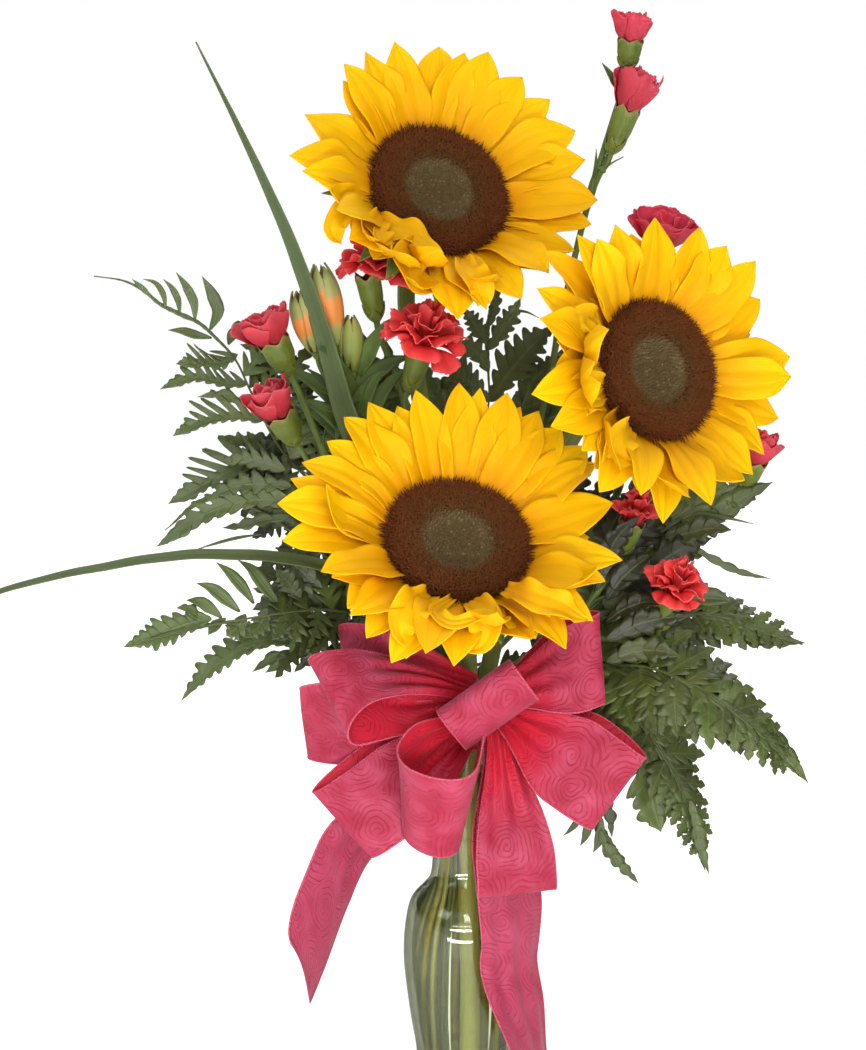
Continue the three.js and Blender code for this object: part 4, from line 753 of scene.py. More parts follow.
def clear_paint(name, tint, rim, ior, rough=0.0, shade=0.9):
    """Glass and water: bright where light only passes through on its way to a lamp."""
    p = Paint(name)
    g = p.node("BsdfGlass")
    # darker grey-green at grazing angles: stands in for the longer path through the glass, and partly a painted dark
    # edge where the glass would show darker surroundings
    way = p.node("LayerWeight")
    way.inputs["Blend"].default_value = 0.5
    p.put(g.inputs["Color"], p.mix(p.span(way.outputs["Facing"], 0.10, 0.55), tint, rim))
    g.inputs["Roughness"].default_value = rough
    g.inputs["IOR"].default_value = ior
    t = p.node("BsdfTransparent")
    t.inputs["Color"].default_value = (tint[0] * shade, tint[1] * shade, tint[2] * shade, 1)
    ray = p.node("LightPath")
    either = p.math("MAXIMUM", ray.outputs["Is Shadow Ray"], ray.outputs["Is Diffuse Ray"])
    mx = p.node("MixShader")
    p.put(mx.inputs[0], either)
    p.put(mx.inputs[1], g.outputs[0])
    p.put(mx.inputs[2], t.outputs[0])
    p.put(p.out.inputs[0], mx.outputs[0])
    return p.m


RAY = ray_petal_paint()
FLORET = floret_paint()
BRACT = bract_paint()
SUN_STEM = stem_paint("sunflower_stem", rgb(100, 112, 48), rgb(136, 140, 76), 0.7)
CARNATION = carnation_petal_paint()
GREEN = green_paint()
LILY_ORANGE = lily_paint(False)
LILY_GREEN = lily_paint(True)
FERN_M = fern_paint()
GRASS_M = grass_paint()
RIBBON_M = ribbon_paint()
GLASS = clear_paint("vase_glass", (0.95, 0.955, 0.89, 1), (0.30, 0.31, 0.25, 1), 1.5, 0.0, 1.0)
WATER = clear_paint("vase_water", (0.98, 0.99, 0.95, 1), (0.94, 0.96, 0.90, 1), 1.33)

# ---------------------------------------------------------------- vase and water


def soften(profile, n):
    """A smooth profile line through the given [radius, height] points."""
    p = A([[r, 0, z] for r, z in profile])
    q = smooth(p, n)
    return [[max(x, 0.0), z] for x, _, z in q]


outer = soften(VASE_OUTER[1:], 150)
inner = soften(VASE_INNER[:-1], 150)
foot = [[14.0, 0.9], [17.6, 0.35], [19.4, 0.0], [20.6, 0.0], [21.5, 0.7]]
well = [[r * 18.4 / 18.4, z] for r, z in [[17.6, 17.2], [16.0, 16.55], [13.6, 16.25], [9.0, 16.2]]]
vase = Body()
vase.add(*lathe([[0, 1.2], [8, 1.1], *foot, *outer, *inner, *well, [0, FLOOR]], 128))
vase.object("fine_vase", [GLASS], "vase")

wet = [[r - 0.02, z] for r, z in inner if z < WATER_TOP][::-1]
top_r = wet[-1][0]
water = Body()
water.add(*lathe([[0, FLOOR + 0.02], [9.0, FLOOR + 0.02], [13.6, 16.27], [16.0, 16.57], [17.58, 17.22], *wet, [top_r - 0.05, WATER_TOP + 0.6],
                  [top_r - 1.2, WATER_TOP + 0.05], [top_r - 3.0, WATER_TOP - 0.1], [0, WATER_TOP - 0.1]], 128))
water.object("fine_water", [WATER], "water")

# ---------------------------------------------------------------- sunflowers


def bezier2(p0, p1, p2, p3, t):
    t = t[:, None]
    return (1 - t) ** 3 * p0 + 3 * (1 - t) ** 2 * t * p1 + 3 * (1 - t) * t**2 * p2 + t**3 * p3


def petal_grid(rng, phi, r0, z0, reach, lift, width, bow0, bow1, cup, roll0, roll1, sway, ripple, grooves=0.5, n=24, m=17, fat=0.42, waist=0.34, point=2.0):
    """One petal or bract in the head's own frame (k = 1)."""
    t = np.linspace(0, 1, n)
    p0, p3 = A([r0, z0]), A([reach, lift])
    chord = np.linalg.norm(p3 - p0)
    beta = math.atan2(lift - z0, reach - r0)
    a0, a1 = beta + bow0, beta - bow1
    p1 = p0 + 0.38 * chord * A([math.cos(a0), math.sin(a0)])
    p2 = p3 - 0.36 * chord * A([math.cos(a1), math.sin(a1)])
    c = bezier2(p0, p1, p2, p3, t)
    d = unit(np.gradient(c, axis=0))
    radial = A([math.cos(phi), math.sin(phi), 0])
    side = A([-math.sin(phi), math.cos(phi), 0])
    zed = A([0, 0, 1])
    mid = c[:, :1] * radial + c[:, 1:] * zed + side * (sway * np.sin(math.pi * t) * chord)[:, None]
    nor = -d[:, 1:] * radial + d[:, :1] * zed
    roll = roll0 + (roll1 - roll0) * t
    lat = side * np.cos(roll)[:, None] + nor * np.sin(roll)[:, None]
    up = nor * np.cos(roll)[:, None] - side * np.sin(roll)[:, None]
    w = np.where(t < fat, waist + (1 - waist) * np.sin(0.5 * math.pi * np.minimum(t / fat, 1)), 1 - (np.maximum(t - fat, 0) / (1 - fat)) ** point)
    if m > 12:
        w = np.maximum(w * (1 + 0.06 * np.sin(9 * t + phi * 7) * ease(t, 0.2, 0.6)), 0.20 * (1 - t) ** 0.5 * (t > 0.9))
    hw = np.maximum(0.5 * width * w, 0.12)
    v = np.linspace(-1, 1, m)
    ph = rng.uniform(0, TAU, 4)
    vv, tt = np.meshgrid(v, t)
    h = cup * hw[:, None] * (np.abs(vv) ** 1.8 - 0.3)
    g = grooves * np.sin(math.pi * np.clip(tt * 0.92 + 0.06, 0, 1)) ** 0.7
    j = rng.uniform(-0.05, 0.05)
    h -= g * (np.exp(-(((vv - 0.34 - j) / 0.15) ** 2)) + np.exp(-(((vv + 0.34 - j) / 0.15) ** 2)))
    h += g * 0.35 * np.exp(-((vv / 0.2) ** 2))
    lift_edge = np.abs(vv) ** 3
    h += ripple * hw[:, None] * lift_edge * np.where(vv > 0, np.sin(TAU * (1.4 * tt) + ph[0]), np.sin(TAU * (1.7 * tt) + ph[1]))
    h += ripple * 0.5 * hw[:, None] * np.sin(TAU * 0.9 * tt + ph[2]) * vv
    grid = mid[:, None] + lat[:, None] * (vv * hw[:, None])[..., None] + up[:, None] * h[..., None]
    att = np.stack([tt, vv, np.full_like(tt, rng.uniform())], -1)
    return grid, att


def placed(head, local):
    local = A(local)
    return A(head["c"]) + local[..., 0:1] * A(head["e1"]) + local[..., 1:2] * A(head["e2"]) + local[..., 2:3] * A(head["n"])


def make_sunflower(key, seed):
    head = HEADS[key]
    rng = np.random.default_rng(seed)
    R = head["R"]
    grids, atts = [], []

    def petal(phi, reach, lift, width, row, curl=None):
        beta_curl = lift > 21.5 if curl is None else curl
        deg = math.radians
        if beta_curl:
            k = min(1.0, (lift - 18) / 14)
            bow0, bow1 = deg(-14 - 22 * k + rng.uniform(-5, 5)), deg(-10 - 34 * k + rng.uniform(-8, 8))
            cup, ripple = 0.30 + 0.2 * rng.uniform(), 0.18
            roll0, roll1 = deg(rng.uniform(-8, 8)), deg(rng.uniform(-26, 26))
        else:
            bow0, bow1 = deg(rng.uniform(12, 24)), deg(rng.uniform(10, 30))
            cup, ripple = rng.uniform(0.04, 0.22), 0.14
            roll0, roll1 = deg(rng.uniform(-5, 5)), deg(rng.uniform(-16, 16))
        z0 = {0: -1.4, 1: -3.2, 2: -5.0}[row] + rng.uniform(-0.8, 0.8)
        g, a = petal_grid(rng, deg(phi), R - 3.2 + (0.6 if row else 0), z0, reach, lift, width, bow0, bow1, cup, roll0, roll1,
                          rng.uniform(-0.05, 0.05), ripple, grooves=rng.uniform(0.3, 0.7), n=30, fat=rng.uniform(0.42, 0.56), waist=0.62, point=rng.uniform(1.7, 2.7))
        grids.append(g)
        atts.append(a)

    # the upper head's lower left petals are short, so the bloom under them shows
    rays = [(q[0], q[1] - (5.0 if key == "upper" and -165 < q[0] < -112 else 0), *q[2:]) for q in RAYS[key]]
    for phi, reach, lift, width, row in rays:
        petal(phi, reach + 0.6, lift, min(max(width, 13.0) * (1.34 if row == 0 else 1.48), 24.0), int(row))
    # petals of the last row, seen between the others and from behind
    have = sorted(q[0] for q in rays)
    for i in range(22):
        phi = -180 + 360 * (i + 0.5) / 22 + rng.uniform(-4, 4)
        near = sorted(rays, key=lambda q: abs((q[0] - phi + 180) % 360 - 180))[:3]
        reach = min(q[1] for q in near) - rng.uniform(3, 8)
        lift = min(min(q[2] for q in near), 10) - rng.uniform(2, 5)
        petal(phi, max(reach, 50 if key == "upper" and -165 < phi < -112 else 56), lift, rng.uniform(17, 21), 2, curl=False)
    body = Body()
    for route, half, roll in CURLS[key]:
        pts = smooth(route, 29)
        t = along(pts)
        out = unit(A(head["n"]) + A([0, -0.5, 0]))
        lat = unit(np.cross(t, out))
        nor = np.cross(lat, t)
        s = np.linspace(0, 1, 30)
        w = half * np.maximum(np.where(s < 0.5, 0.5 + 0.5 * np.sin(math.pi * s), 1 - (np.maximum(s - 0.5, 0) / 0.5) ** 2.3), 0.02)
        v = np.linspace(-1, 1, 17)
        turn = roll * s
        la = lat * np.cos(turn)[:, None] + nor * np.sin(turn)[:, None]
        up = nor * np.cos(turn)[:, None] - lat * np.sin(turn)[:, None]
        ph = rng.uniform(0, TAU, 2)
        h = w[:, None] * (0.34 * (np.abs(v)[None] ** 1.8 - 0.3) + 0.34 * np.sin(TAU * 2.5 * s + ph[0])[:, None] * np.abs(v)[None] ** 2 + 0.10 * np.sin(TAU * 1.1 * s + ph[1])[:, None] * v[None])
        h -= 0.5 * (np.exp(-(((v - 0.34) / 0.15) ** 2)) + np.exp(-(((v + 0.34) / 0.15) ** 2)))[None]
        ss, vv = np.meshgrid(s, v, indexing="ij")
        g = pts[:, None] + la[:, None] * (v[None] * w[:, None])[..., None] + up[:, None] * h[..., None]
        body.add(*shell(g, 0.36, np.stack([0.15 + 0.85 * ss, vv, np.full_like(ss, rng.uniform())], -1)))
    g, a = placed(head, np.stack(grids)), np.stack(atts)
    thick = 0.34 + 0.26 * (1 - a[..., 0]) * (1 - a[..., 1] ** 2)
    body.add(*shell(g, thick, a))
    body.object(f"fine_sunflower_{key}_petals", [RAY], f"sunflower_{key}_petals")

    # disc: a dome closed underneath, and its florets in spirals
    body = Body()
    rise = lambda r: np.interp(r / R, [0, 0.3, 0.5, 0.62, 0.88, 1.0], [0.2, 0.7, 1.7, 2.4, 2.2, -0.8])
    rs = np.linspace(0.02, 1, 14) * (R - 0.6)
    prof = [[0, -5.5], [R - 3, -5.5], [R - 1.0, -3.2]] + [[r, float(rise(r))] for r in rs[::-1]] + [[0, 0.2]]
    v, f, a, b = lathe(prof, 64)
    a = np.stack([np.hypot(v[:, 0], v[:, 1]) / R, np.zeros(len(v)), np.full(len(v), 0.7)], -1)
    body.add(placed(head, v), f, a, b)
    N = 1250
    k = np.arange(N)
    r = R * np.sqrt((k + 0.5) / N) * 0.985
    th = k * 2.399963
    pos = np.stack([r * np.cos(th), r * np.sin(th), rise(r)], -1)
    out = np.stack([np.cos(th), np.sin(th), np.zeros(N)], -1)
    chance = rng.uniform(0, 1, N)
    inside = r < 0.53 * R
    # closed buds in the middle
    p = pos[inside] + rng.normal(0, 0.30, (int(inside.sum()), 3)) * A([1, 1, 0.2])
    o = out[inside]
    tilt = (r[inside] / R)[:, None]
    aim = np.array([[0, 0, 1.0]]) - o * (0.25 - 0.3 * tilt) + rng.normal(0, 0.05, p.shape)
    tall = 1.15 + 2.2 * (r[inside] / R) ** 2 + rng.uniform(0, 0.6, len(p))
    att = np.stack([r[inside] / R, np.zeros(len(p)), chance[inside]], -1)
    v, f, a, b = spikes(p - aim * 0.6, aim, tall, 0.82, rng.normal(0, 0.04, p.shape), seg=4, sides=6, a=att, power=0.42)
    body.add(placed(head, v), f, a, b)
    # open florets round them: a short tube, curled lobes and a style
    p, o, rr, ch = pos[~inside], out[~inside], r[~inside], chance[~inside]
    lean = (rr / R - 0.62)[:, None] * 1.25
    aim = unit(np.array([[0, 0, 1.0]]) + o * lean + rng.normal(0, 0.10, p.shape))
    att = np.stack([rr / R, np.ones(len(p)), ch], -1)
    v, f, a, b = spikes(p - aim * 0.8, aim, 3.0 + 0.8 * ch, 0.72, rng.normal(0, 0.05, p.shape), seg=3, sides=5, a=att, power=0.25)
    body.add(placed(head, v), f, a, b)
    for j in range(4):
        ang = th[~inside] + j * TAU / 4 + rng.uniform(-0.5, 0.5, len(p))
        d = np.stack([np.cos(ang), np.sin(ang), np.zeros(len(p))], -1)
        base = p + aim * 1.7 + d * 0.35
        ll = rng.uniform(1.5, 2.7, len(p)) * (0.8 + 0.5 * (rr / R) ** 2)
        v, f, a, b = spikes(base, unit(aim + d * 0.55), ll, 0.34, d * 0.5 - aim * 0.12, seg=3, sides=4, a=np.stack([rr / R, np.ones(len(p)), rng.uniform(0, 1, len(p))], -1))
        body.add(placed(head, v), f, a, b)
    v, f, a, b = spikes(p + aim * 1.6, unit(aim + rng.normal(0, 0.14, p.shape)), rng.uniform(2.4, 3.8, len(p)), 0.26, rng.normal(0, 0.12, p.shape), seg=3, sides=4, a=att, power=0.5)
    body.add(placed(head, v), f, a, b)
    # a fringe of florets that lies over the feet of the petals
    M = 190
    ang = np.arange(M) / M * TAU + rng.uniform(-0.02, 0.02, M)
    rad = R - 1.2 + rng.uniform(-0.9, 0.6, M)
    o = np.stack([np.cos(ang), np.sin(ang), np.zeros(M)], -1)
    p = o * rad[:, None] + np.array([[0, 0, 0.2]])
    aim = unit(o * 1.0 + np.array([[0, 0, 0.55]]) + rng.normal(0, 0.2, p.shape))
    v, f, a, b = spikes(p, aim, rng.uniform(3.0, 5.8, M), 0.6, o * 0.15 + np.array([[0, 0, -0.1]]), seg=3, sides=4, a=np.stack([np.ones(M), np.ones(M), rng.uniform(0, 1, M)], -1))
    body.add(placed(head, v), f, a, b)
    body.object(f"fine_sunflower_{key}_disc", [FLORET], f"sunflower_{key}_disc")

    # calyx: the cup behind the head and its pointed bracts
    body = Body()
    cup = soften([[4.3, -23.0], [6.5, -22.4], [17, -18.3], [27, -12.6], [R + 0.6, -8.4], [R + 1.0, -6.3]], 26)
    v, f, a, b = lathe([[0, -23.2], *cup, [R - 2, -5.8], [0, -5.8]], 48)
    body.add(placed(head, v), f, a, b)
    grids, atts = [], []
    for row, (count, r0, z0, reach, lift, width) in enumerate([(13, 15.5, -19.4, 40, -13.5, 12.5), (15, 21, -16.4, 46, -10.5, 12.5), (17, 26, -13.4, 50, -8.0, 12)]):
        for i in range(count):
            phi = TAU * (i + 0.33 * row) / count + rng.uniform(-0.08, 0.08)
            g, a = petal_grid(rng, phi, r0, z0, reach + rng.uniform(-3, 4), lift + rng.uniform(-1.5, 1.0), width * rng.uniform(0.9, 1.1),
                              math.radians(6), math.radians(rng.uniform(18, 46)), -0.14, rng.uniform(-0.06, 0.06), rng.uniform(-0.2, 0.2),
                              rng.uniform(-0.04, 0.04), 0.08, grooves=0.15, n=14, m=9, fat=0.25, waist=0.75, point=1.25)
            grids.append(g)
            atts.append(a)
    body.add(*shell(placed(head, np.stack(grids)), 0.6, np.stack(atts)))
    body.object(f"fine_sunflower_{key}_calyx", [BRACT], f"sunflower_{key}_calyx")

    # stem
    low = lane(f"sun_{key}")
    top = placed(head, [[0, 0, -38], [0, 0, -22.6]])
    route = smooth([*low, *A(SUN_ROUTES[key]), *top], 110)
    u = np.linspace(0, 1, len(route))
    radius = 4.15 * (1 + 0.03 * np.sin(u * 31 + seed)) * (1 + 0.28 * ease(u, 0.93, 1.0))
    body = Body()
    body.add(*tube(route, radius, 28, lambda t, a: 1 + 0.025 * np.cos(7 * a + 2 * t) + 0.015 * np.cos(13 * a), chance=0.5, round_end=False))
    body.object(f"fine_sunflower_{key}_stem", [SUN_STEM], f"sunflower_{key}_stem")


make_sunflower("front", 11)
make_sunflower("upper", 23)
make_sunflower("right", 37)


# ---------------------------------------------------------------- spray carnations
def make_bloom(name, seed):
    b = BLOOMS[name]
    rng = np.random.default_rng(seed)
    base, centre, radius = A(b["base"]), A(b["centre"]), b["radius"]
    full = np.linalg.norm(centre - base)
    aim = unit(centre + (A([7, 0, 2]) if name == "carnation_1" else 0) - base)
    start = base + aim * (0.64 * full + GAP - (0.9 if name == "carnation_1" else 0))
    high = (0.36 * full + 0.52 * radius) * {"carnation_3": 0.80, "carnation_4": 0.92, "carnation_7": 0.66, "carnation_8": 0.8}.get(name, 1.0)
    radius = radius * {"carnation_1": 1.1, "carnation_3": 0.96, "carnation_4": 0.86, "carnation_8": 0.64, "carnation_9": 0.70, "carnation_10": 0.9}.get(name, 1.0)
    bud = name in ("carnation_3", "carnation_4", "carnation_5", "carnation_6", "carnation_7", "carnation_8")
    n, m = 17, 41
    vv, ss = np.meshgrid(np.linspace(-1, 1, m), np.linspace(0, 1, n))
    grids, atts = [], []
    rows = [(5, 1.0, 1.0), (4, 0.74, 1.05), (3, 0.42, 1.10)] if bud else [(7, 1.04, 0.02), (7, 0.94, 0.46), (6, 0.70, 0.84), (5, 0.34, 1.12)]
    if not bud:
        rows[0] = (7, 1.04, {"carnation_1": 0.06, "carnation_9": 0.30, "carnation_10": 0.22}.get(name, 0.02))
    places = [(row, i / c, rr, hh) for row, (c, rr, hh) in enumerate(rows) for i in range(c)]
    count = len(places)
    for k, (row, turn, rr, hh) in enumerate(places):
        q = row / (len(rows) - 1)                  # 0 outside, 1 in the middle
        th = turn * TAU + 0.7 * row + rng.uniform(-0.16, 0.16)
        ph = rng.uniform(0, TAU, 4)
        teeth = 0.010 * (np.abs(((np.arange(m) + k) % 4) - 2) - 1) + rng.uniform(-0.005, 0.005, m)
        if bud:
            # broad petals standing round each other, open at the top
            R = radius * rr * rng.uniform(0.92, 1.06)
            H = high * 1.08 * hh * rng.uniform(0.90, 1.08)
            flare = rng.uniform(-0.10, 0.16)
            peak = rng.uniform(-0.4, 0.4)
            reach = 1 - 0.24 * np.abs(vv - peak) ** 1.7 + 0.05 * np.sin(vv * math.pi * 1.7 + ph[0]) + teeth[None]
            sr = ss * reach
            rad = R * (np.interp(sr, [0, 0.12, 0.35, 0.65, 0.9, 1.0], [0.44, 0.56, 0.78, 0.95, 1.0, 0.96]) + flare * ease(sr, 0.5, 1.0))
            rad = rad * (1 + 0.08 * vv) + radius * 0.085 * np.sin(vv * math.pi * 1.5 + ph[1]) * ease(sr, 0.3, 1.0) + 0.4 * np.sin(vv * 8 + ph[2]) * ease(sr, 0.7, 1.0)
            ang = th + vv * math.radians(50 + 22 * q) * (0.55 + 0.45 * ease(sr, 0, 0.6))
            z = -1.3 + (H + 1.3) * sr
        else:
            r_end = radius * rr * rng.uniform(0.94, 1.06)
            z_end = high * (hh * rng.uniform(0.92, 1.06) + (rng.uniform(-0.20, 0.26) if row == 0 else 0))
            a_end = math.radians(-62 + 130 * q + rng.uniform(-14, 14))
            width = radius * rng.uniform(1.25, 1.5) * (1.0 - 0.22 * q)
            p0, p3 = A([3.4 * (1 - 0.7 * q), -1.2]), A([r_end, z_end])
            chord = np.linalg.norm(p3 - p0)
            p1 = p0 + A([0.10, 1.0]) * 0.48 * chord
            p2 = p3 - A([math.cos(a_end), math.sin(a_end)]) * 0.44 * chord
            reach = 1 - 0.16 * vv**2 + teeth[None] + 0.035 * np.sin(vv * math.pi * 1.6 + ph[3])
            sr = ss * reach
            path = lambda x: bezier2(p0, p1, p2, p3, x.ravel()).reshape(n, m, 2)
            c = path(sr)
            d = unit(path(np.clip(sr + 0.01, 0, 1.2)) - path(np.clip(sr - 0.01, -0.1, 1.2)))
            w = width * (0.16 + 0.84 * ease(sr, 0.08, 0.95) ** 0.8)
            waves = rng.uniform(0.8, 1.35)
            amp = radius * 0.15 * ease(sr, 0.25, 1.0)
            h = amp * (np.sin(vv * math.pi * waves + ph[0]) + 0.26 * np.sin(vv * math.pi * waves * 2.6 + ph[1]))
            curl = rng.uniform(-0.08, 0.20) * radius * sr**3
            lat = vv * w * 0.5
            spread = np.arctan2(lat, np.maximum(c[..., 0], 0.35 * radius) * 1.1 + 1.0)
            rad = np.hypot(c[..., 0], 0.45 * lat) - d[..., 1] * (h + curl)
            z = c[..., 1] + d[..., 0] * (h + curl)
            ang = th + spread + 0.3 * amp * np.sin(vv * math.pi * waves * 1.3 + ph[2]) / np.maximum(rad, 4)
        rad = np.maximum(rad, 0.2)
        z = np.where(rad < 8.0, np.maximum(z, -1.4), z)
        grids.append(np.stack([rad * np.cos(ang), rad * np.sin(ang), z], -1))
        atts.append(np.stack([ss, vv, np.full_like(ss, rng.uniform())], -1))
    g = turn_to(np.stack(grids), start, aim)
    pink = {"carnation_5": 1.0, "carnation_6": 0.7, "carnation_7": 1.8, "carnation_8": 0.5}.get(name, 0.0)
    body = Body()
    body.add(*shell(g, 0.32, np.stack(atts), kind=np.full(count, 1.0 if bud else 0.0), extra=pink))
    body.object(f"fine_{name}", [CARNATION], name)


def calyx(body, name, seed):
    b = BLOOMS[name]
    rng = np.random.default_rng(seed)
    base, centre = A(b["base"]), A(b["centre"])
    full = np.linalg.norm(centre - base)
    aim = unit(centre - base)
    L = 0.64 * full
    n, m = 26, 40
    t = np.linspace(0, 1, n)
    ang = np.arange(m) / m * TAU
    tt, aa = np.meshgrid(t, ang, indexing="ij")
    saw = np.abs((aa * 5 / TAU + 0.13) % 1 - 0.5) * 2          # 1 at the notches, 0 at the points
    reach = 1 + 0.16 * (1 - saw) ** 1.2 * 1.0 - 0.05
    z = L * tt * (1 + (reach - 1) * ease(tt, 0.6, 1.0))
    r = np.interp(tt, [0, 0.04, 0.2, 0.5, 0.85, 1], [1.6, 2.7, 4.0, 5.1, 5.5, 5.75]) * (1 + 0.035 * np.cos(5 * aa) + 0.015 * np.cos(25 * aa))
    r = r + 0.6 * ease(tt, 0.88, 1.0) * (1 - saw)
    r = r * (1 + (0.24 if name in ("carnation_3", "carnation_4") else 0.0) * ease(tt, 0.0, 0.5))
    g = np.stack([r * np.cos(aa), r * np.sin(aa), z], -1)
    att = np.stack([tt, (aa / TAU * 5) % 1 - 0.5, np.full_like(tt, rng.uniform())], -1)
    body.add(*shell(turn_to(g, base, aim), 0.5, att, kind=1.0, wrap=True))
    # little bracts that clasp its foot
    grids, atts = [], []
    for i in range(4):
        phi = TAU * i / 4 + rng.uniform(-0.2, 0.2)
        gg, at = petal_grid(rng, phi, 1.2, -1.5, 4.9 + 0.3 * (i % 2), (0.30 + 0.06 * (i % 2)) * L, 6.5, math.radians(-20), math.radians(-22), 0.30, 0, 0, 0, 0.05, grooves=0.1, n=9, m=7, fat=0.35, waist=0.6, point=1.3)
        grids.append(gg)
        atts.append(at)
    body.add(*shell(turn_to(np.stack(grids), base, aim), 0.45, np.stack(atts), kind=np.full(4, 1.0)))
    # the foot, closed
    body.add(*tube([base - aim * 2.0, base - aim * 0.6, base + aim * 0.8, base + aim * 2.0], [1.6, 2.3, 2.6, 2.2], 14, kind=1.0))


def leaf_strip(route, half, face, fold, n=18, m=7, point=1.4, fat=0.3, waist=0.5):
    pts = smooth(route, n - 1)
    t = along(pts)
    side = unit(np.cross(t, unit(face)))
    nor = np.cross(side, t)
    s = np.linspace(0, 1, n)
    w = np.where(s < fat, waist + (1 - waist) * np.sin(0.5 * math.pi * s / fat), 1 - (np.maximum(s - fat, 0) / (1 - fat)) ** point)
    hw = np.maximum(half * w, 0.12)
    v = np.linspace(-1, 1, m)
    g = pts[:, None] + side[:, None] * (v[None] * hw[:, None])[..., None] + nor[:, None] * (np.abs(v)[None] * fold * hw[:, None])[..., None]
    ss, vv = np.meshgrid(s, v, indexing="ij")
    return g, np.stack([ss, vv, np.full_like(ss, 0.4)], -1)


def knuckle(u, places, r, swell=0.45, wide=0.012):
    out = np.full(len(u), float(r))
    for c in places:
        out *= 1 + swell * np.exp(-(((u - c) / wide) ** 2))
    return out


def make_spray(key, seed):
    rng = np.random.default_rng(seed)
    spray = SPRAYS[key]
    low = lane(key)
    body = Body()
    first = True
    for bloom, arm in spray["arms"].items():
        b = BLOOMS[bloom]
        base, aim = A(b["base"]), unit(A(b["centre"]) - A(b["base"]))
        fork = spray["trunk"][-1]
        end = [base - aim * 7, base + aim * 0.5]
        if first:
            way = smooth([*low, *spray["trunk"], *arm, *end], 120)
            u = np.linspace(0, 1, 121)
            spots = [0.42, 0.58, 0.74, 0.88]
            body.add(*tube(way, knuckle(u, spots, 1.5), 12))
            for c in spots[1:]:
                i = int(c * 120)
                here, t = way[i], along(way)[i]
                turn = rng.uniform(0, TAU)
                ref = unit(np.cross(t, [0.3, 1, 0.1]))
                oth = np.cross(t, ref)
                for sgn in (0, math.pi):
                    o = ref * math.cos(turn + sgn) + oth * math.sin(turn + sgn)
                    ll = rng.uniform(13, 26)
                    g, a = leaf_strip([here + o * 0.6, here + o * 2.2 + t * ll * 0.5, here + o * (2.2 + 0.30 * ll) + t * ll], 1.3, -o, 0.35, n=14)
                    body.add(*shell(g, 0.4, a, kind=2.0))
        else:
            way = smooth([fork, *arm, *end], 50)
            u = np.linspace(0, 1, 51)
            body.add(*tube(way, knuckle(u, [0.02, 0.55], 1.35, wide=0.03), 12))
            i = 27
            here, t = way[i], along(way)[i]
            o = unit(np.cross(t, [0.2, 1, 0.4]))
            for sgn in (-1, 1):
                g, a = leaf_strip([here + o * sgn * 0.6, here + o * sgn * 1.8 + t * 5, here + o * sgn * 4.5 + t * 11], 1.2, -o * sgn, 0.35, n=12)
                body.add(*shell(g, 0.4, a, kind=2.0))
        first = False
        calyx(body, bloom, seed + len(bloom) + int(bloom.split("_")[1]))
    if key == "spray_c":
        # the pointed leaf below the topmost bud
        g, a = leaf_strip([[69.6, 29.5, 484.5], [67.4, 28.0, 489.0], [63.2, 27.0, 495.0]], 2.0, [0.5, -1, 0.3], 0.3, n=14)
        body.add(*shell(g, 0.45, a, kind=2.0))
    body.object(f"fine_{key}_stem", [GREEN], f"{key}_stem")


for i, name in enumerate(BLOOMS):
    make_bloom(name, 100 + 7 * i)
for i, name in enumerate(SPRAYS):
    make_spray(name, 300 + 11 * i)


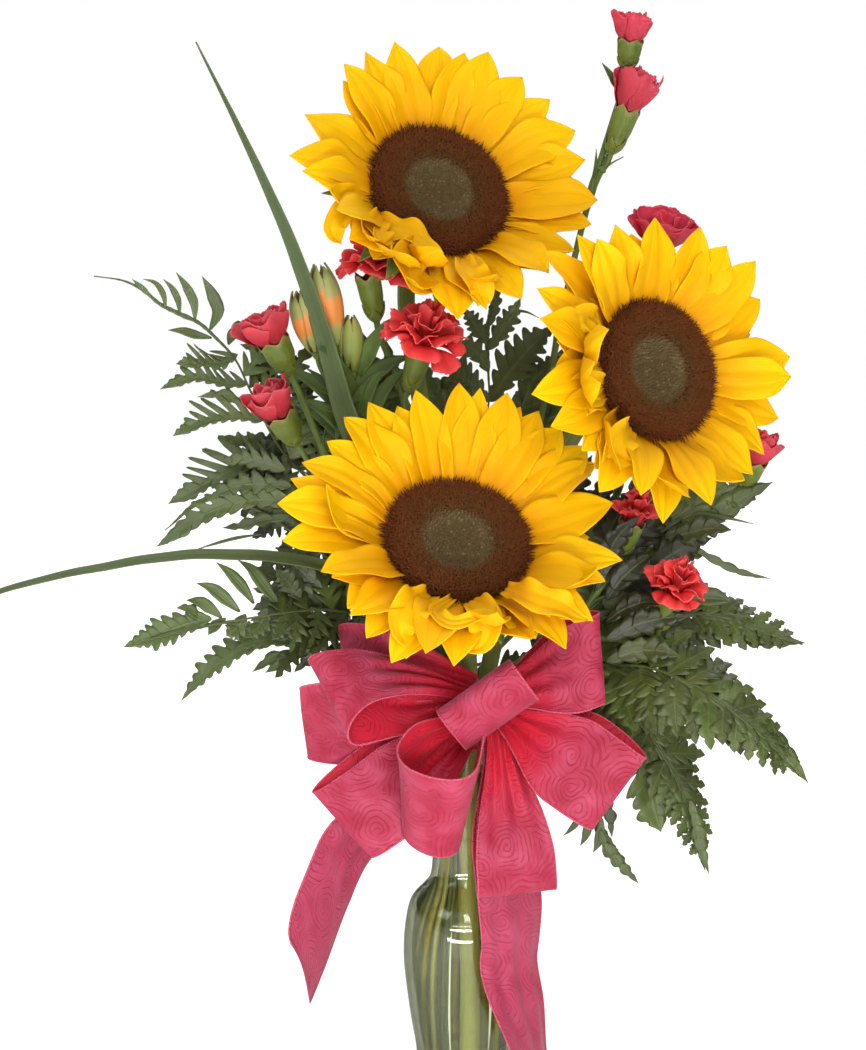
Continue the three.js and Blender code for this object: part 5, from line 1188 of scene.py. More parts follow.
# ---------------------------------------------------------------- alstroemeria
def make_lily():
    rng = np.random.default_rng(77)
    low = lane("lily")
    body = Body()
    fork = LILY["trunk"][-1]
    for i, (name, bud) in enumerate(LILY["buds"].items()):
        base, tip = A(bud["base"]), A(bud["tip"])
        aim, L = unit(tip - base), np.linalg.norm(tip - base)
        if i == 0:
            body.add(*tube(smooth([*low, *LILY["trunk"], base - aim * 9, base + aim * 0.3], 110), np.linspace(1.6, 1.3, 111), 12))
        else:
            body.add(*tube(smooth([fork, base - aim * 9, base + aim * 0.3], 40), 1.05, 12))
        # ovary under the tepals
        body.add(*tube([base - aim * 3.4, base - aim * 2.0, base - aim * 0.6, base + aim * 1.2], [1.2, 1.9, 2.3, 1.7], 12, lambda t, a: 1 + 0.10 * np.cos(3 * a), kind=1.0))
        grids, atts = [], []
        flare = {0: 0.12, 1: 0.10, 2: 0.0}[i]
        for k in range(6):
            inner_row = k % 2
            phi = TAU * k / 6 + 0.3
            n, m = 22, 13
            t = np.linspace(0, 1, n)
            v = np.linspace(-1, 1, m)
            tt, vv = np.meshgrid(t, v, indexing="ij")
            r = bud["radius"] * 1.32 * (0.30 + 0.72 * np.sin(math.pi * np.clip(tt * 0.84, 0, 1)) ** 0.75) * (0.92 if inner_row else 1.0) * (1 - 0.55 * tt**6)
            r = r + flare * bud["radius"] * tt**4 * (1.15 if inner_row else 1.0)
            half = np.where(tt < 0.5, 0.35 + 0.75 * np.sin(math.pi * tt), 1.10 * (1 - ((tt - 0.5) / 0.5) ** 3.6)) * (0.62 if inner_row else 0.70)
            ang = phi + 0.5 * tt + vv * np.maximum(half, 0.02)
            rr = r * (1 - 0.10 * np.abs(vv) ** 2) + 0.35 * vv
            z = L * tt * (0.97 + 0.03 * inner_row)
            grids.append(np.stack([rr * np.cos(ang), rr * np.sin(ang), z], -1))
            atts.append(np.stack([tt, vv, np.full_like(tt, rng.uniform())], -1))
        petals = Body()
        petals.add(*shell(turn_to(np.stack(grids), base, aim), 0.45, np.stack(atts)))
        petals.object(f"fine_{name}", [LILY_GREEN if name == "lily_bud_3" else LILY_ORANGE], name)
    # a whorl of small leaves where the buds part
    for k, (dx, dy, dz) in enumerate([(-14, -8, 10), (9, -9, 16), (-4, 10, 18), (13, 6, 10), (-8, -10, -14), (10, -8, -16), (3, -12, 4), (20, 2, 26), (-22, 6, 20), (26, 4, 8), (-26, -4, 0)]):
        f0 = A(fork)
        g, a = leaf_strip([f0, f0 + A([dx, dy, dz]) * 0.55 + A([0, 0, 2]), f0 + A([dx, dy, dz])], 2.9, [0.1, -0.8, 0.6], 0.2, n=16)
        body.add(*shell(g, 0.45, a, kind=2.0))
    # the leaves along its stem
    way = smooth([A([-26, 2, 250]), A([-44, 6, 300]), A(fork), A([-50, 8, 356])], 76)
    for k in range(30):
        here, t = way[17 + 2 * k], along(way)[17 + 2 * k]
        turn = 2.4 * k + rng.uniform(-0.3, 0.3)
        o = unit(np.cross(t, [0.1, 1, 0.1])) * math.cos(turn) + A([0, 1, 0]) * 0.6 * math.sin(turn)
        ll = rng.uniform(26, 40)
        g, a = leaf_strip([here, here + o * 0.34 * ll + t * 0.42 * ll, here + o * 0.72 * ll + t * 0.70 * ll, here + o * 0.95 * ll + t * 0.74 * ll], rng.uniform(3.6, 5.2), [0.1, -1, 0.5], 0.25, n=20)
        body.add(*shell(g, 0.4, a, kind=2.0))
    body.object("fine_lily_stem", [GREEN], "lily_stem")


make_lily()


# ---------------------------------------------------------------- lily grass
def make_grass(name):
    blade = GRASS[name]
    low = lane(name)
    upper = smooth([low[-1], *blade["route"]], 96)[1:]
    lower = respace(low, 28)
    pts = np.vstack([lower, upper])
    n, k0 = len(pts), len(lower) - 1
    t = along(pts)
    side = unit(np.cross(t, unit(blade["face"])))
    nor = np.cross(side, t)
    u = np.clip((np.arange(n) - k0) / (n - 1 - k0), 0, 1)
    half, peak = blade["half"], blade["peak"]
    w = np.where(u < peak, 1.3 + (half - 1.3) * np.sin(0.5 * math.pi * u / peak), 0.35 + (half - 0.35) * np.maximum(1 - (u - peak) / (1 - peak), 0) ** blade["taper"])
    v = np.linspace(-1, 1, 13)
    fold = 0.22 + 0.55 * (1 - ease(u, 0, 0.3))
    g = pts[:, None] + side[:, None] * (v[None] * w[:, None])[..., None] + nor[:, None] * ((np.abs(v) ** 1.25)[None] * (fold * w)[:, None])[..., None]
    g += nor[:, None] * (0.10 * np.sin(u * 60)[:, None] * np.abs(v)[None] ** 3 * w[:, None])[..., None]
    uu, vv = np.meshgrid(u, v, indexing="ij")
    body = Body()
    body.add(*shell(g, (0.55 - 0.25 * vv**2) * (1 + 1.2 * (1 - ease(uu, 0, 0.15))), np.stack([uu, vv, np.full_like(uu, 0.3)], -1)))
    body.object(f"fine_{name}", [GRASS_M], name)


make_grass("grass_tall")
make_grass("grass_arched")


# ---------------------------------------------------------------- leather fern
COMB = {"fern_1": 1.0, "fern_2": 0.9, "fern_3": 0.9, "fern_4": 0.7, "fern_5": 0.95, "fern_6": 0.3, "fern_7": 0.2, "fern_8": 0.1, "fern_9": 0.1, "fern_10": 0.6, "fern_11": 0.5, "fern_12": 0.5}
FULLER = {"fern_1": (1.12, 1.35), "fern_2": (1.1, 1.2), "fern_5": (1.25, 1.2), "fern_6": (1.6, 1.15), "fern_7": (1.2, 1.1), "fern_8": (1.1, 1.1)}

# single pinnae and fingers: route, upper half, lower half, lobes, depth of the cuts, painted shade (how dark the leaf
# is painted where it lies deep in the bunch)
PINNAE = {
    "fern_1": [
        ([[-148.3, 32.0, 386.5], [-152.8, 31.3, 391.2], [-157.3, 30.0, 395.4]], 1.46, 1.49, 0, 0, 0.1),
        ([[-141.8, 32.0, 381.3], [-143.0, 31.4, 388.4], [-146.5, 30.4, 393.6], [-152.0, 29.0, 395.5]], 1.68, 1.72, 0, 0, 0.1),
        ([[-135.2, 32.0, 378.9], [-135.9, 31.2, 385.5], [-138.5, 29.8, 391.2], [-142.4, 28.0, 395.5]], 1.9, 1.95, 0, 0, 0.1),
        ([[-128.2, 33.0, 376.0], [-128.5, 32.2, 384.1], [-132.0, 30.8, 392.1], [-136.4, 29.0, 398.7]], 2.46, 2.53, 0, 0, 0.1),
        ([[-121.3, 34.0, 371.3], [-117.7, 32.8, 379.8], [-119.8, 30.7, 387.9], [-124.1, 28.0, 396.9]], 3.25, 3.33, 0, 0, 0.1),
        ([[-120.4, 34.0, 367.5], [-127.8, 32.7, 369.0], [-134.1, 30.2, 371.0], [-140.4, 27.0, 371.6]], 2.69, 2.3, 0, 0, 0.1),
        ([[-112.8, 34.0, 364.2], [-110.5, 34.8, 368.9], [-105.8, 36.2, 373.1], [-102.6, 38.0, 376.8]], 3.58, 3.68, 3, 0.25, 0.5),
        ([[-108.0, 33.0, 359.9], [-115.5, 31.3, 356.2], [-125.6, 28.1, 356.5], [-136.5, 24.0, 355.8]], 10.64, 3.45, 8, 0.8, 0.2),
        ([[-103.4, 32.0, 345.7], [-113.6, 30.1, 346.4], [-127.5, 26.6, 349.5], [-144.0, 22.0, 344.1]], 8.96, 2.99, 9, 0.78, 0.2),
        ([[-99.6, 31.0, 336.3], [-107.1, 29.7, 337.4], [-115.3, 27.2, 340.9], [-126.8, 24.0, 340.2]], 3.36, 2.3, 3, 0.4, 0.3),
        ([[-95.8, 30.0, 328.7], [-107.0, 27.7, 330.9], [-120.8, 23.5, 329.3], [-137.8, 18.0, 322.3]], 11.76, 3.22, 9, 0.82, 0.2),
        ([[-90.1, 28.0, 313.7], [-102.3, 26.5, 317.6], [-111.5, 23.6, 320.8], [-114.9, 20.0, 321.6]], 5.6, 2.76, 4, 0.7, 0.6),
        ([[-87.2, 27.0, 306.1], [-102.2, 24.1, 308.3], [-118.4, 18.8, 302.3], [-139.9, 12.0, 290.8]], 14.0, 4.83, 10, 0.8, 0.3),
        ([[-102.5, 33.0, 343.8], [-96.8, 34.3, 351.3], [-88.4, 36.8, 355.9], [-79.0, 40.0, 357.6]], 6.72, 4.6, 6, 0.5, 0.8),
        ([[-96.8, 31.0, 330.6], [-92.1, 32.7, 340.0], [-83.6, 35.9, 345.5], [-73.4, 40.0, 345.2]], 6.72, 4.6, 6, 0.5, 0.9),
        ([[-91.1, 30.0, 319.2], [-87.3, 31.5, 328.6], [-78.9, 34.4, 334.1], [-68.5, 38.0, 335.7]], 6.72, 5.75, 6, 0.5, 0.9),
        ([[-79.1, 34.0, 304.3], [-88.6, 33.2, 313.1], [-97.0, 31.8, 319.0], [-105.4, 30.0, 321.1]], 6.5, 5.0, 6, 0.45, 0.9),
        ([[-76.7, 32.0, 290.1], [-85.7, 31.2, 300.8], [-94.1, 29.8, 308.7], [-102.5, 28.0, 311.7]], 6.5, 5.5, 6, 0.45, 0.9),
        ([[-79.1, 36.0, 318.6], [-85.7, 35.6, 328.2], [-93.2, 34.9, 336.0], [-101.7, 34.0, 338.9]], 6.0, 5.0, 6, 0.45, 0.9),
        ([[-83.0, 38.0, 330.4], [-88.6, 37.6, 339.6], [-97.1, 36.9, 348.2], [-105.6, 36.0, 351.2]], 6.0, 5.0, 6, 0.45, 0.9),
        ([[-88.7, 40.0, 342.3], [-93.4, 39.6, 350.9], [-100.0, 38.9, 360.5], [-107.5, 38.0, 364.4]], 5.0, 4.0, 6, 0.45, 0.8),
        ([[-64.8, 36.0, 304.1], [-68.6, 36.8, 318.5], [-73.4, 38.2, 330.4], [-79.2, 40.0, 339.9]], 7.0, 7.0, 7, 0.4, 1.0),
        ([[-73.5, 38.0, 318.4], [-77.2, 38.8, 332.8], [-79.1, 40.2, 347.1], [-81.0, 42.0, 358.9]], 6.0, 6.0, 7, 0.4, 1.0),
        ([[-60.0, 38.0, 313.6], [-57.1, 38.8, 327.9], [-55.2, 40.2, 339.9], [-54.2, 42.0, 350.8]], 6.5, 6.5, 7, 0.4, 1.0),
        ([[-54.3, 38.0, 318.4], [-47.5, 38.8, 331.8], [-43.7, 40.2, 342.3], [-40.8, 42.0, 355.6]], 6.5, 6.5, 7, 0.4, 0.9),
    ],
    "fern_2": [
        ([[-81.5, 10.0, 292.9], [-101.0, 7.7, 293.2], [-121.7, 3.5, 287.2], [-144.1, -2.0, 272.5]], 10.0, 5.0, 10, 0.62, 0.3),
        ([[-82.4, 9.0, 285.5], [-95.5, 7.7, 283.8], [-105.6, 5.2, 281.3], [-113.7, 2.0, 280.8]], 4.0, 4.0, 4, 0.4, 0.6),
        ([[-81.4, 10.0, 299.6], [-95.4, 8.8, 300.6], [-107.8, 6.7, 299.9], [-120.3, 4.0, 293.7]], 7.0, 5.0, 7, 0.5, 0.7),
        ([[-84.3, 12.0, 306.9], [-95.5, 11.2, 310.7], [-105.6, 9.8, 312.8], [-113.9, 8.0, 311.1]], 7.0, 4.0, 6, 0.6, 0.7),
        ([[-95.4, 6.0, 277.4], [-107.5, 5.2, 275.6], [-117.7, 3.8, 273.0], [-127.9, 2.0, 270.0]], 0.9, 0.9, 0, 0, 0.5),
        ([[-73.4, 14.0, 278.2], [-82.7, 13.2, 282.1], [-93.0, 11.8, 286.1], [-103.1, 10.0, 287.3]], 7.0, 6.0, 6, 0.4, 0.9),
        ([[-73.4, 16.0, 287.4], [-81.8, 15.2, 292.3], [-91.1, 13.8, 297.2], [-100.3, 12.0, 299.3]], 6.5, 5.5, 6, 0.4, 0.9),
    ],
    "fern_3": [
        ([[-116.1, -26.0, 243.4], [-128.1, -28.3, 241.0], [-141.3, -32.5, 236.3], [-154.7, -38.0, 232.3]], 8.62, 7.59, 9, 0.36, 0.1),
        ([[-116.1, -26.0, 242.4], [-122.3, -27.2, 244.5], [-126.5, -29.3, 248.1], [-131.7, -32.0, 249.1]], 3.25, 2.75, 3, 0.3, 0.1),
        ([[-111.7, -24.0, 243.0], [-116.0, -25.5, 247.0], [-121.2, -28.4, 251.2], [-127.1, -32.0, 252.7]], 3.25, 2.75, 0, 0, 0.1),
        ([[-103.6, -22.0, 245.4], [-109.8, -23.5, 251.2], [-116.7, -26.4, 257.3], [-122.6, -30.0, 260.2]], 3.5, 3.0, 0, 0, 0.1),
        ([[-97.4, -19.0, 248.6], [-101.8, -20.7, 255.4], [-107.8, -23.9, 263.3], [-113.7, -28.0, 269.5]], 3.38, 3.0, 0, 0, 0.1),
        ([[-86.8, -14.0, 247.7], [-92.1, -15.9, 255.5], [-98.1, -19.4, 264.5], [-104.1, -24.0, 269.8]], 3.75, 3.5, 0, 0, 0.2),
        ([[-109.9, -24.0, 243.0], [-113.4, -25.4, 240.5], [-117.8, -28.0, 235.9]], 3.0, 2.75, 0, 0, 0.2),
        ([[-101.1, -20.0, 244.1], [-104.6, -22.1, 238.9], [-109.8, -26.0, 235.0]], 5.75, 5.75, 4, 0.35, 0.3),
        ([[-91.3, -16.0, 246.2], [-94.8, -18.8, 239.2], [-100.9, -24.0, 233.7]], 5.75, 5.75, 5, 0.4, 0.5),
        ([[-80.6, -10.0, 246.0], [-83.2, -13.5, 239.2], [-89.3, -20.0, 232.0]], 6.25, 6.25, 5, 0.4, 0.7),
        ([[-77.0, -8.0, 248.5], [-81.4, -10.8, 256.5], [-87.4, -16.0, 263.9]], 6.25, 6.25, 5, 0.4, 0.9),
        ([[-67.1, -2.0, 245.6], [-77.3, -3.2, 252.4], [-87.3, -5.3, 258.4], [-97.3, -8.0, 261.7]], 7.5, 6.5, 7, 0.4, 0.9),
        ([[-67.2, -2.0, 238.0], [-77.4, -3.2, 240.1], [-88.4, -5.3, 239.5], [-98.5, -8.0, 235.3]], 7.5, 6.5, 7, 0.4, 0.9),
        ([[-67.2, 0.0, 251.8], [-74.5, -1.2, 259.6], [-81.8, -3.3, 265.6], [-89.9, -6.0, 268.8]], 6.0, 6.0, 6, 0.4, 1.0),
    ],
    "fern_4": [
        ([[-87.7, 22.0, 223.8], [-105.5, 22.4, 219.8], [-121.5, 23.1, 209.9], [-136.8, 24.0, 193.5]], 8.2, 5.16, 10, 0.45, 0.1),
        ([[-78.9, 18.0, 218.7], [-90.3, 17.3, 216.0], [-101.7, 16.0, 209.4]], 3.45, 2.99, 3, 0.3, 0.2),
        ([[-75.9, 17.0, 218.9], [-84.5, 15.9, 215.3], [-95.4, 14.0, 209.3]], 3.45, 2.99, 3, 0.3, 0.2),
        ([[-97.1, 20.0, 224.2], [-105.6, 19.3, 228.2], [-114.0, 18.0, 230.4]], 5.75, 5.75, 5, 0.4, 0.5),
        ([[-64.3, 14.0, 225.3], [-76.7, 14.4, 228.2], [-89.0, 15.1, 230.0], [-102.5, 16.0, 228.8]], 7.0, 6.0, 7, 0.4, 0.9),
        ([[-64.4, 18.0, 243.9], [-76.8, 18.4, 243.9], [-89.2, 19.1, 242.8], [-101.7, 20.0, 238.7]], 8.0, 7.0, 7, 0.4, 1.0),
        ([[-61.5, 20.0, 255.7], [-73.0, 20.4, 254.1], [-84.5, 21.1, 251.1], [-97.0, 22.0, 245.2]], 7.0, 7.0, 7, 0.4, 1.0),
        ([[-78.8, 18.0, 222.1], [-90.3, 18.0, 224.6], [-101.7, 18.0, 223.6], [-111.3, 18.0, 218.7]], 5.0, 4.5, 6, 0.4, 0.4),
    ],
    "fern_5": [
        ([[11.8, 53.0, 350.0], [6.9, 52.0, 358.3], [0.1, 50.3, 362.8], [-8.6, 48.0, 361.9]], 6.07, 6.07, 6, 0.42, 0.33),
        ([[11.8, 52.0, 360.7], [17.0, 51.2, 369.0], [22.2, 49.8, 376.7], [26.9, 48.0, 385.9]], 6.6, 5.81, 6, 0.42, 0.29),
        ([[17.0, 50.0, 372.4], [23.2, 49.6, 379.1], [29.4, 48.9, 379.2], [35.7, 48.0, 376.3]], 0.9, 0.9, 0, 0, 0.28),
        ([[10.8, 52.0, 363.6], [6.4, 51.6, 370.4], [2.5, 50.9, 376.2], [-0.9, 50.0, 381.0]], 5.28, 5.28, 6, 0.42, 0.33),
        ([[12.2, 51.0, 372.4], [14.1, 50.8, 379.1], [15.0, 50.5, 386.8], [15.9, 50.0, 394.9]], 3.43, 3.43, 5, 0.42, 0.29),
        ([[12.3, 52.0, 335.5], [21.0, 50.8, 349.2], [30.5, 48.7, 360.9], [42.8, 46.0, 372.6]], 11.35, 10.03, 8, 0.42, 0.37),
        ([[25.0, 52.0, 334.1], [31.7, 51.2, 344.3], [39.3, 49.8, 352.2], [46.9, 48.0, 358.1]], 7.92, 7.92, 7, 0.42, 0.41),
        ([[11.8, 52.0, 335.5], [4.5, 51.0, 343.4], [-2.3, 49.3, 350.3], [-10.0, 47.0, 358.1]], 7.39, 7.39, 7, 0.42, 0.37),
        ([[10.4, 50.0, 326.9], [0.6, 49.0, 335.8], [-9.1, 47.3, 341.7], [-18.7, 45.0, 344.8]], 7.39, 7.39, 7, 0.42, 0.41),
        ([[12.3, 50.0, 322.1], [24.4, 49.2, 330.9], [37.4, 47.8, 335.9], [50.8, 46.0, 337.9]], 8.45, 8.45, 7, 0.42, 0.41),
        ([[9.4, 48.0, 322.2], [-2.3, 47.2, 325.2], [-13.9, 45.8, 331.2], [-23.5, 44.0, 338.1]], 7.92, 7.92, 7, 0.42, 0.41),
        ([[17.1, 48.0, 317.4], [31.6, 47.6, 322.3], [44.2, 46.9, 325.3], [55.7, 46.0, 325.4]], 7.92, 7.92, 7, 0.42, 0.41),
        ([[-9.1, 46.0, 317.6], [-13.9, 45.6, 334.6], [-18.7, 44.9, 346.7], [-23.5, 44.0, 359.3]], 8.0, 8.0, 6, 0.35, 0.33),
        ([[-19.7, 48.0, 317.4], [-11.0, 47.4, 334.9], [-4.3, 46.4, 347.6], [0.5, 45.0, 360.2]], 8.0, 8.0, 6, 0.35, 0.39),
        ([[-31.3, 46.0, 317.6], [-32.2, 45.6, 335.1], [-35.1, 44.9, 350.6], [-37.9, 44.0, 366.0]], 7.5, 7.5, 6, 0.35, 0.33),
        ([[-44.9, 46.0, 322.4], [-43.8, 45.6, 338.9], [-45.7, 44.9, 354.4], [-49.4, 44.0, 369.8]], 8.0, 8.0, 7, 0.35, 0.28),
        ([[-57.4, 46.0, 322.4], [-58.3, 45.6, 338.9], [-56.7, 44.9, 354.4], [-54.2, 44.0, 370.8]], 7.0, 7.0, 7, 0.35, 0.28),
        ([[-31.3, 44.0, 322.6], [-39.0, 43.6, 336.2], [-42.8, 42.9, 346.9], [-44.6, 42.0, 358.4]], 6.5, 6.5, 6, 0.35, 0.33),
        ([[46.2, 48.0, 317.4], [49.0, 47.6, 332.0], [51.7, 46.9, 346.6], [52.5, 46.0, 358.2]], 8.0, 8.0, 6, 0.35, 0.44),
        ([[39.0, 50.0, 322.1], [40.4, 49.6, 336.7], [44.1, 48.9, 350.3], [48.8, 48.0, 363.4]], 7.0, 7.0, 6, 0.35, 0.44),
    ],
    "fern_6": [
        ([[106.8, 22.0, 281.8], [119.1, 22.0, 285.6], [131.3, 22.0, 292.3], [145.8, 22.0, 300.0]], 5.6, 5.6, 4, 0.25, 0.1),
        ([[99.9, 20.0, 282.1], [111.2, 19.6, 285.0], [123.5, 18.9, 283.2], [138.6, 18.0, 280.0]], 1.0, 1.0, 0, 0, 0.3),
        ([[106.3, 16.0, 270.7], [113.8, 15.2, 265.5], [128.9, 13.8, 258.1], [144.3, 12.0, 255.1]], 3.2, 1.9, 5, 0.3, 0.1),
        ([[92.0, 16.0, 273.1], [106.0, 14.8, 277.1], [116.1, 12.7, 279.3], [125.2, 10.0, 278.7]], 6.5, 6.5, 5, 0.35, 0.8),
        ([[63.4, 12.0, 264.1], [68.1, 13.5, 278.2], [75.3, 16.4, 289.7], [82.6, 20.0, 296.4]], 9.0, 9.0, 7, 0.35, 1.0),
        ([[72.9, 12.0, 259.4], [80.5, 13.5, 273.4], [89.6, 16.4, 282.6], [99.8, 20.0, 289.3]], 9.0, 9.0, 7, 0.35, 1.0),
        ([[57.0, 14.0, 263.8], [59.8, 15.5, 277.0], [63.7, 18.4, 289.5], [66.7, 22.0, 296.2]], 8.0, 8.0, 7, 0.35, 1.0),
        ([[50.4, 14.0, 259.0], [56.0, 15.5, 275.5], [62.7, 18.4, 290.9], [69.4, 22.0, 306.7]], 9.0, 9.0, 7, 0.35, 1.0),
        ([[82.5, 12.0, 252.2], [93.7, 12.8, 264.0], [106.1, 14.2, 271.0], [116.6, 16.0, 274.0]], 8.0, 8.0, 6, 0.35, 1.0),
        ([[45.0, 20.0, 272.5], [47.8, 21.2, 286.7], [53.5, 23.3, 300.8], [60.2, 26.0, 312.4]], 8.0, 8.0, 7, 0.35, 1.0),
    ],
    "fern_7": [
        ([[102.4, 4.0, 246.4], [109.8, 3.2, 247.5], [117.2, 1.8, 247.7], [124.4, 0.0, 246.2]], 4.8, 4.4, 0, 0, 0.1),
        ([[110.3, 5.0, 235.7], [123.3, 4.0, 234.0], [136.4, 2.3, 227.6], [159.5, 0.0, 226.6]], 6.6, 4.6, 7, 0.4, 0.1),
        ([[63.3, 8.0, 245.7], [75.0, 7.6, 252.9], [86.6, 6.9, 257.8], [96.8, 6.0, 260.3]], 9.0, 9.0, 7, 0.3, 1.0),
        ([[63.4, 8.0, 236.1], [75.1, 7.2, 241.0], [89.0, 5.8, 245.1], [102.4, 4.0, 247.3]], 9.0, 9.0, 7, 0.3, 1.0),
        ([[65.3, 6.0, 224.5], [77.4, 4.8, 231.0], [88.9, 2.7, 236.1], [104.9, 0.0, 238.6]], 9.0, 9.0, 7, 0.3, 0.9),
        ([[60.3, -6.0, 252.9], [64.7, -7.9, 267.3], [70.7, -11.4, 279.9], [79.3, -16.0, 288.9]], 7.0, 7.0, 6, 0.3, 1.0),
        ([[64.9, -8.0, 248.5], [72.0, -9.9, 259.2], [79.9, -13.4, 267.2], [87.6, -18.0, 272.6]], 7.0, 7.0, 6, 0.3, 1.0),
    ],
    "fern_8": [
        ([[72.0, -6.0, 205.5], [81.3, -7.9, 201.1], [88.0, -11.4, 194.8], [93.7, -16.0, 184.9]], 8.5, 8.5, 5, 0.35, 0.5),
        ([[68.2, -6.0, 216.0], [77.4, -7.9, 212.6], [85.5, -11.4, 206.7], [91.6, -16.0, 200.1]], 8.5, 8.5, 5, 0.35, 0.6),
        ([[124.1, -34.0, 207.0], [134.1, -35.9, 196.3], [144.6, -39.4, 185.1], [154.2, -44.0, 170.9]], 4.8, 4.8, 5, 0.28, 0.1),
        ([[63.9, -22.0, 232.4], [76.5, -23.9, 239.3], [87.9, -27.4, 243.6], [101.0, -32.0, 245.4]], 7.0, 7.0, 6, 0.3, 0.9),
        ([[64.2, -20.0, 221.7], [75.9, -21.9, 226.8], [86.5, -25.4, 228.4], [97.0, -30.0, 226.5]], 7.0, 7.0, 6, 0.3, 0.7),
        ([[64.2, -18.0, 240.0], [71.3, -19.9, 246.0], [81.0, -23.4, 250.3], [89.6, -28.0, 250.2]], 6.0, 6.0, 5, 0.3, 1.0),
    ],
    "fern_9": [
        ([[88.0, 28.0, 170.8], [90.1, 27.2, 156.0], [92.1, 25.8, 141.9], [95.5, 24.0, 128.4]], 12.5, 13.5, 5, 0.26, 0.1),
        ([[108.3, 16.0, 146.6], [111.3, 15.2, 135.9], [113.3, 13.8, 124.4], [117.6, 12.0, 111.0]], 4.2, 3.4, 6, 0.28, 0.1),
    ],
    "fern_10": [
        ([[66.3, 30.0, 127.7], [69.8, 29.4, 118.8], [77.1, 28.4, 110.0], [85.4, 27.0, 101.3]], 4.6, 3.6, 5, 0.42, 0.1),
        ([[59.1, 34.0, 138.7], [55.8, 33.6, 131.7], [51.8, 32.9, 126.8], [48.4, 32.0, 124.1]], 2.1, 2.1, 0, 0, 0.6),
        ([[63.5, 33.0, 135.9], [61.1, 32.4, 129.0], [59.1, 31.4, 123.3], [56.6, 30.0, 119.6]], 2.4, 2.4, 0, 0, 0.6),
        ([[67.4, 32.0, 133.2], [66.4, 31.6, 126.2], [65.0, 30.9, 120.4], [63.0, 30.0, 116.1]], 2.55, 2.55, 0, 0, 0.6),
        ([[64.4, 34.0, 151.7], [69.4, 33.6, 141.8], [71.4, 32.9, 131.9], [72.4, 32.0, 123.1]], 3.8, 3.8, 4, 0.35, 0.6),
    ],
}
# ribs that bend more than their solid's middle line
ROUTE = {"fern_1": [[-64.3, 24.0, 291.1], [-85.5, 24.0, 312.6], [-95.5, 27.0, 329.0], [-102.7, 30.0, 344.0], [-109.4, 32.0, 357.6], [-118.5, 34.0, 367.5], [-126.5, 34.0, 374.6], [-135.4, 34.0, 378.8], [-144.7, 33.0, 383.6], [-152.0, 32.0, 389.8], [-161.2, 31.0, 394.5], [-175.2, 30.0, 396.8]],
         "fern_5": [[4.5, 45.0, 303.1], [9.4, 50.0, 322.1], [11.8, 52.0, 336.5], [11.3, 53.0, 353.4], [10.8, 52.0, 368.0], [12.6, 51.0, 381.0], [15.9, 50.0, 394.9]]}
# where the evenly spaced pinnae of the upper and under layer give way to those
UNTIL = {"fern_1": {-1: (0.0, 0.40), 1: (0.56, 0.5)}, "fern_5": {-1: (0.0, 0.0), 1: (0.0, 0.0)}, "fern_2": {-1: (0.34, 0.30), 1: (0.5, 0.4)}, "fern_3": {-1: (0.42, 0.34), 1: (0.42, 0.34)},
         "fern_4": {-1: (0.46, 0.36), 1: (0.46, 0.36)}, "fern_10": {-1: (0.62, 0.5), 1: (0.62, 0.5)}}


